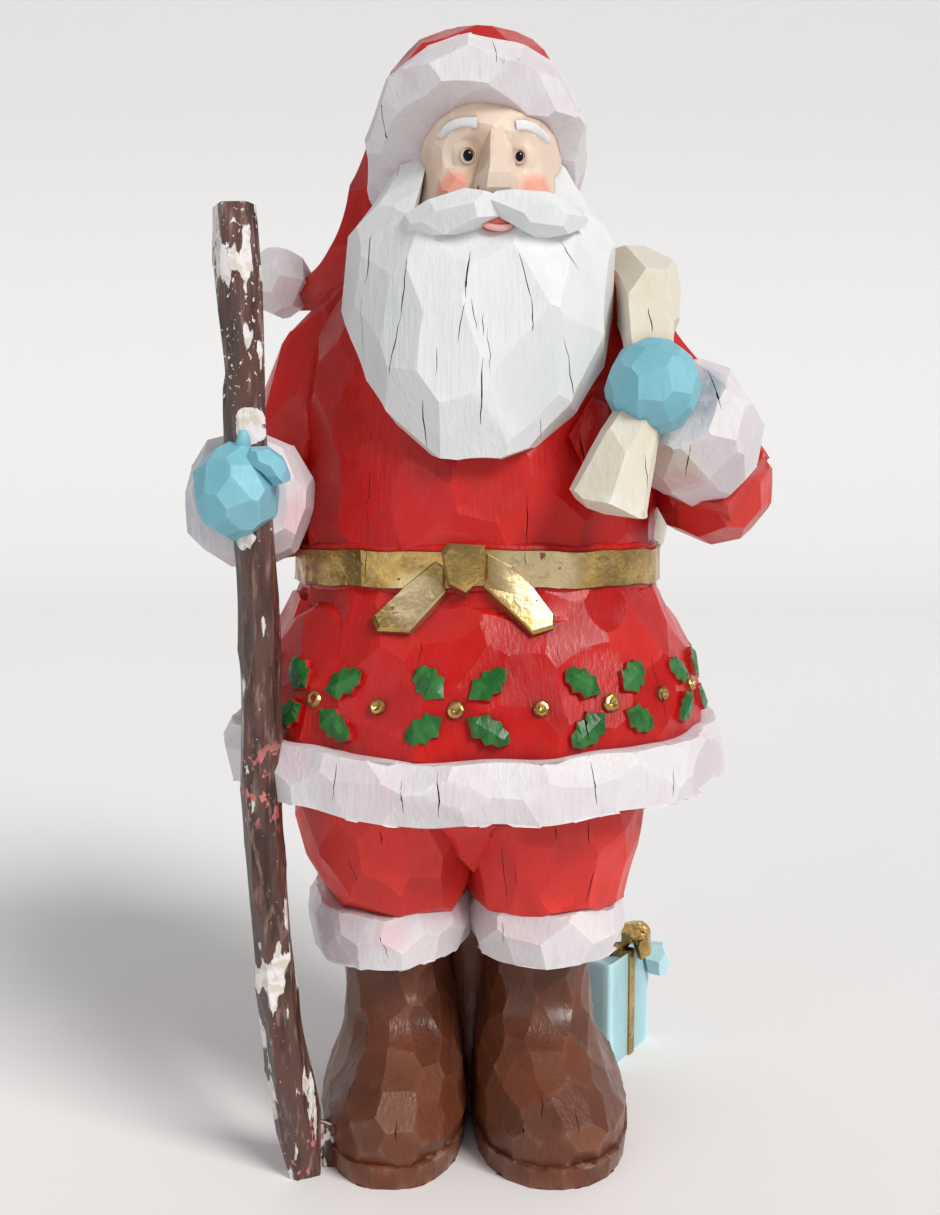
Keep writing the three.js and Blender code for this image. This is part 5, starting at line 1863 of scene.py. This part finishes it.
def backdrop():
    """A pale floor that curves up far behind the figure"""
    width, front, bend, back, height = 4.0, -2.5, 1.6, 2.6, 3.0
    profile = [(front, 0.0), (bend, 0.0)]
    steps = 16
    radius = back - bend
    for step in range(1, steps + 1):
        angle = step / steps * math.pi / 2
        profile.append((bend + radius * math.sin(angle), radius * (1 - math.cos(angle))))
    profile.append((back, height))
    points = [(x, y, z) for y, z in profile for x in (-width, width)]
    faces = [(2 * i, 2 * i + 1, 2 * i + 3, 2 * i + 2) for i in range(len(profile) - 1)]
    mesh = bpy.data.meshes.new("backdrop")
    mesh.from_pydata(points, [], faces)
    mesh.shade_smooth()
    paper = Paint("backdrop_grey", 0.9)
    paper.shader.inputs["Specular IOR Level"].default_value = 0.2
    far = paper.node("ShaderNodeSeparateXYZ")
    paper.tree.links.new(paper.place, far.inputs[0])
    paper.done(paper.mix((0.89, 0.885, 0.885), (0.77, 0.77, 0.775), paper.ramp(far.outputs["Y"], 0.5, 2.4)))
    mesh.materials.append(paper.material)
    obj = bpy.data.objects.new("backdrop", mesh)
    bpy.context.scene.collection.objects.link(obj)


def area_light(name, place, target, size, power, colour=(1, 1, 1)):
    light = bpy.data.lights.new(name, "AREA")
    light.shape = "RECTANGLE"
    light.size, light.size_y = size
    light.energy = power
    light.color = colour
    obj = bpy.data.objects.new(name, light)
    obj.location = place
    obj.rotation_euler = (Vector(target) - Vector(place)).to_track_quat("-Z", "Y").to_euler()
    bpy.context.scene.collection.objects.link(obj)


def lights():
    key = bpy.data.lights.new("key_light", "SUN")
    key.energy = 2.5
    key.angle = math.radians(24)
    key.color = (1.0, 0.985, 0.965)
    obj = bpy.data.objects.new("key_light", key)
    obj.rotation_euler = Vector((0.55, -0.60, 0.62)).to_track_quat("Z", "Y").to_euler()
    bpy.context.scene.collection.objects.link(obj)
    area_light("fill_light", (-0.9, -1.1, 0.5), (0, 0, 0.14), (0.9, 0.9), 2.4, (0.96, 0.98, 1.0))
    world = bpy.data.worlds.new("studio")
    world.use_nodes = True
    world.node_tree.nodes["Background"].inputs["Color"].default_value = (1, 1, 1, 1)
    world.node_tree.nodes["Background"].inputs["Strength"].default_value = 0.35
    bpy.context.scene.world = world
    bpy.context.scene.view_settings.view_transform = "Standard"


def camera():
    """The photograph's viewpoint. The lens is measured on the frame's long side."""
    data = bpy.data.cameras.new("camera")
    data.lens = data.sensor_width * FOCAL_PIXELS / IMAGE_HEIGHT
    data.clip_start = 0.01
    obj = bpy.data.objects.new("camera", data)
    obj.location = in_frame(CAMERA_PLACE)
    obj.rotation_euler = (math.pi / 2 - CAMERA_PITCH, 0, 0)
    bpy.context.scene.collection.objects.link(obj)
    bpy.context.scene.camera = obj


class SANTA_PT_panel(bpy.types.Panel):
    """Sizes, colours and build steps of the figurine"""

    bl_label = "Santa Figurine"
    bl_idname = "SANTA_PT_panel"
    bl_space_type = "VIEW_3D"
    bl_region_type = "UI"
    bl_category = "Figurine"

    def draw(self, context):
        layout = self.layout
        for group in (context.scene.figurine_sizes, context.scene.figurine_knife,
                      context.scene.figurine_paint):
            for key in type(group).__annotations__:
                layout.prop(group, key)
        for operator in OPERATORS:
            layout.operator(operator.bl_idname)


GROUPS = {"figurine_sizes": FigureSizes, "figurine_knife": KnifeWork, "figurine_paint": FigurePaint}
OPERATORS = (SANTA_OT_paint, SANTA_OT_coat, SANTA_OT_legs, SANTA_OT_arms, SANTA_OT_head,
             SANTA_OT_stick, SANTA_OT_gift, SANTA_OT_stage)


def register():
    for group in GROUPS.values():
        bpy.utils.register_class(group)
    for name, group in GROUPS.items():
        setattr(bpy.types.Scene, name, bpy.props.PointerProperty(type=group))
    for operator in OPERATORS:
        bpy.utils.register_class(operator)
    bpy.utils.register_class(SANTA_PT_panel)


def unregister():
    bpy.utils.unregister_class(SANTA_PT_panel)
    for operator in reversed(OPERATORS):
        bpy.utils.unregister_class(operator)
    for name, group in GROUPS.items():
        delattr(bpy.types.Scene, name)
        bpy.utils.unregister_class(group)


def main():
    register()
    for operator in OPERATORS:
        group, step = operator.bl_idname.split(".")
        getattr(getattr(bpy.ops, group), step)()


if __name__ == "__main__":
    main()
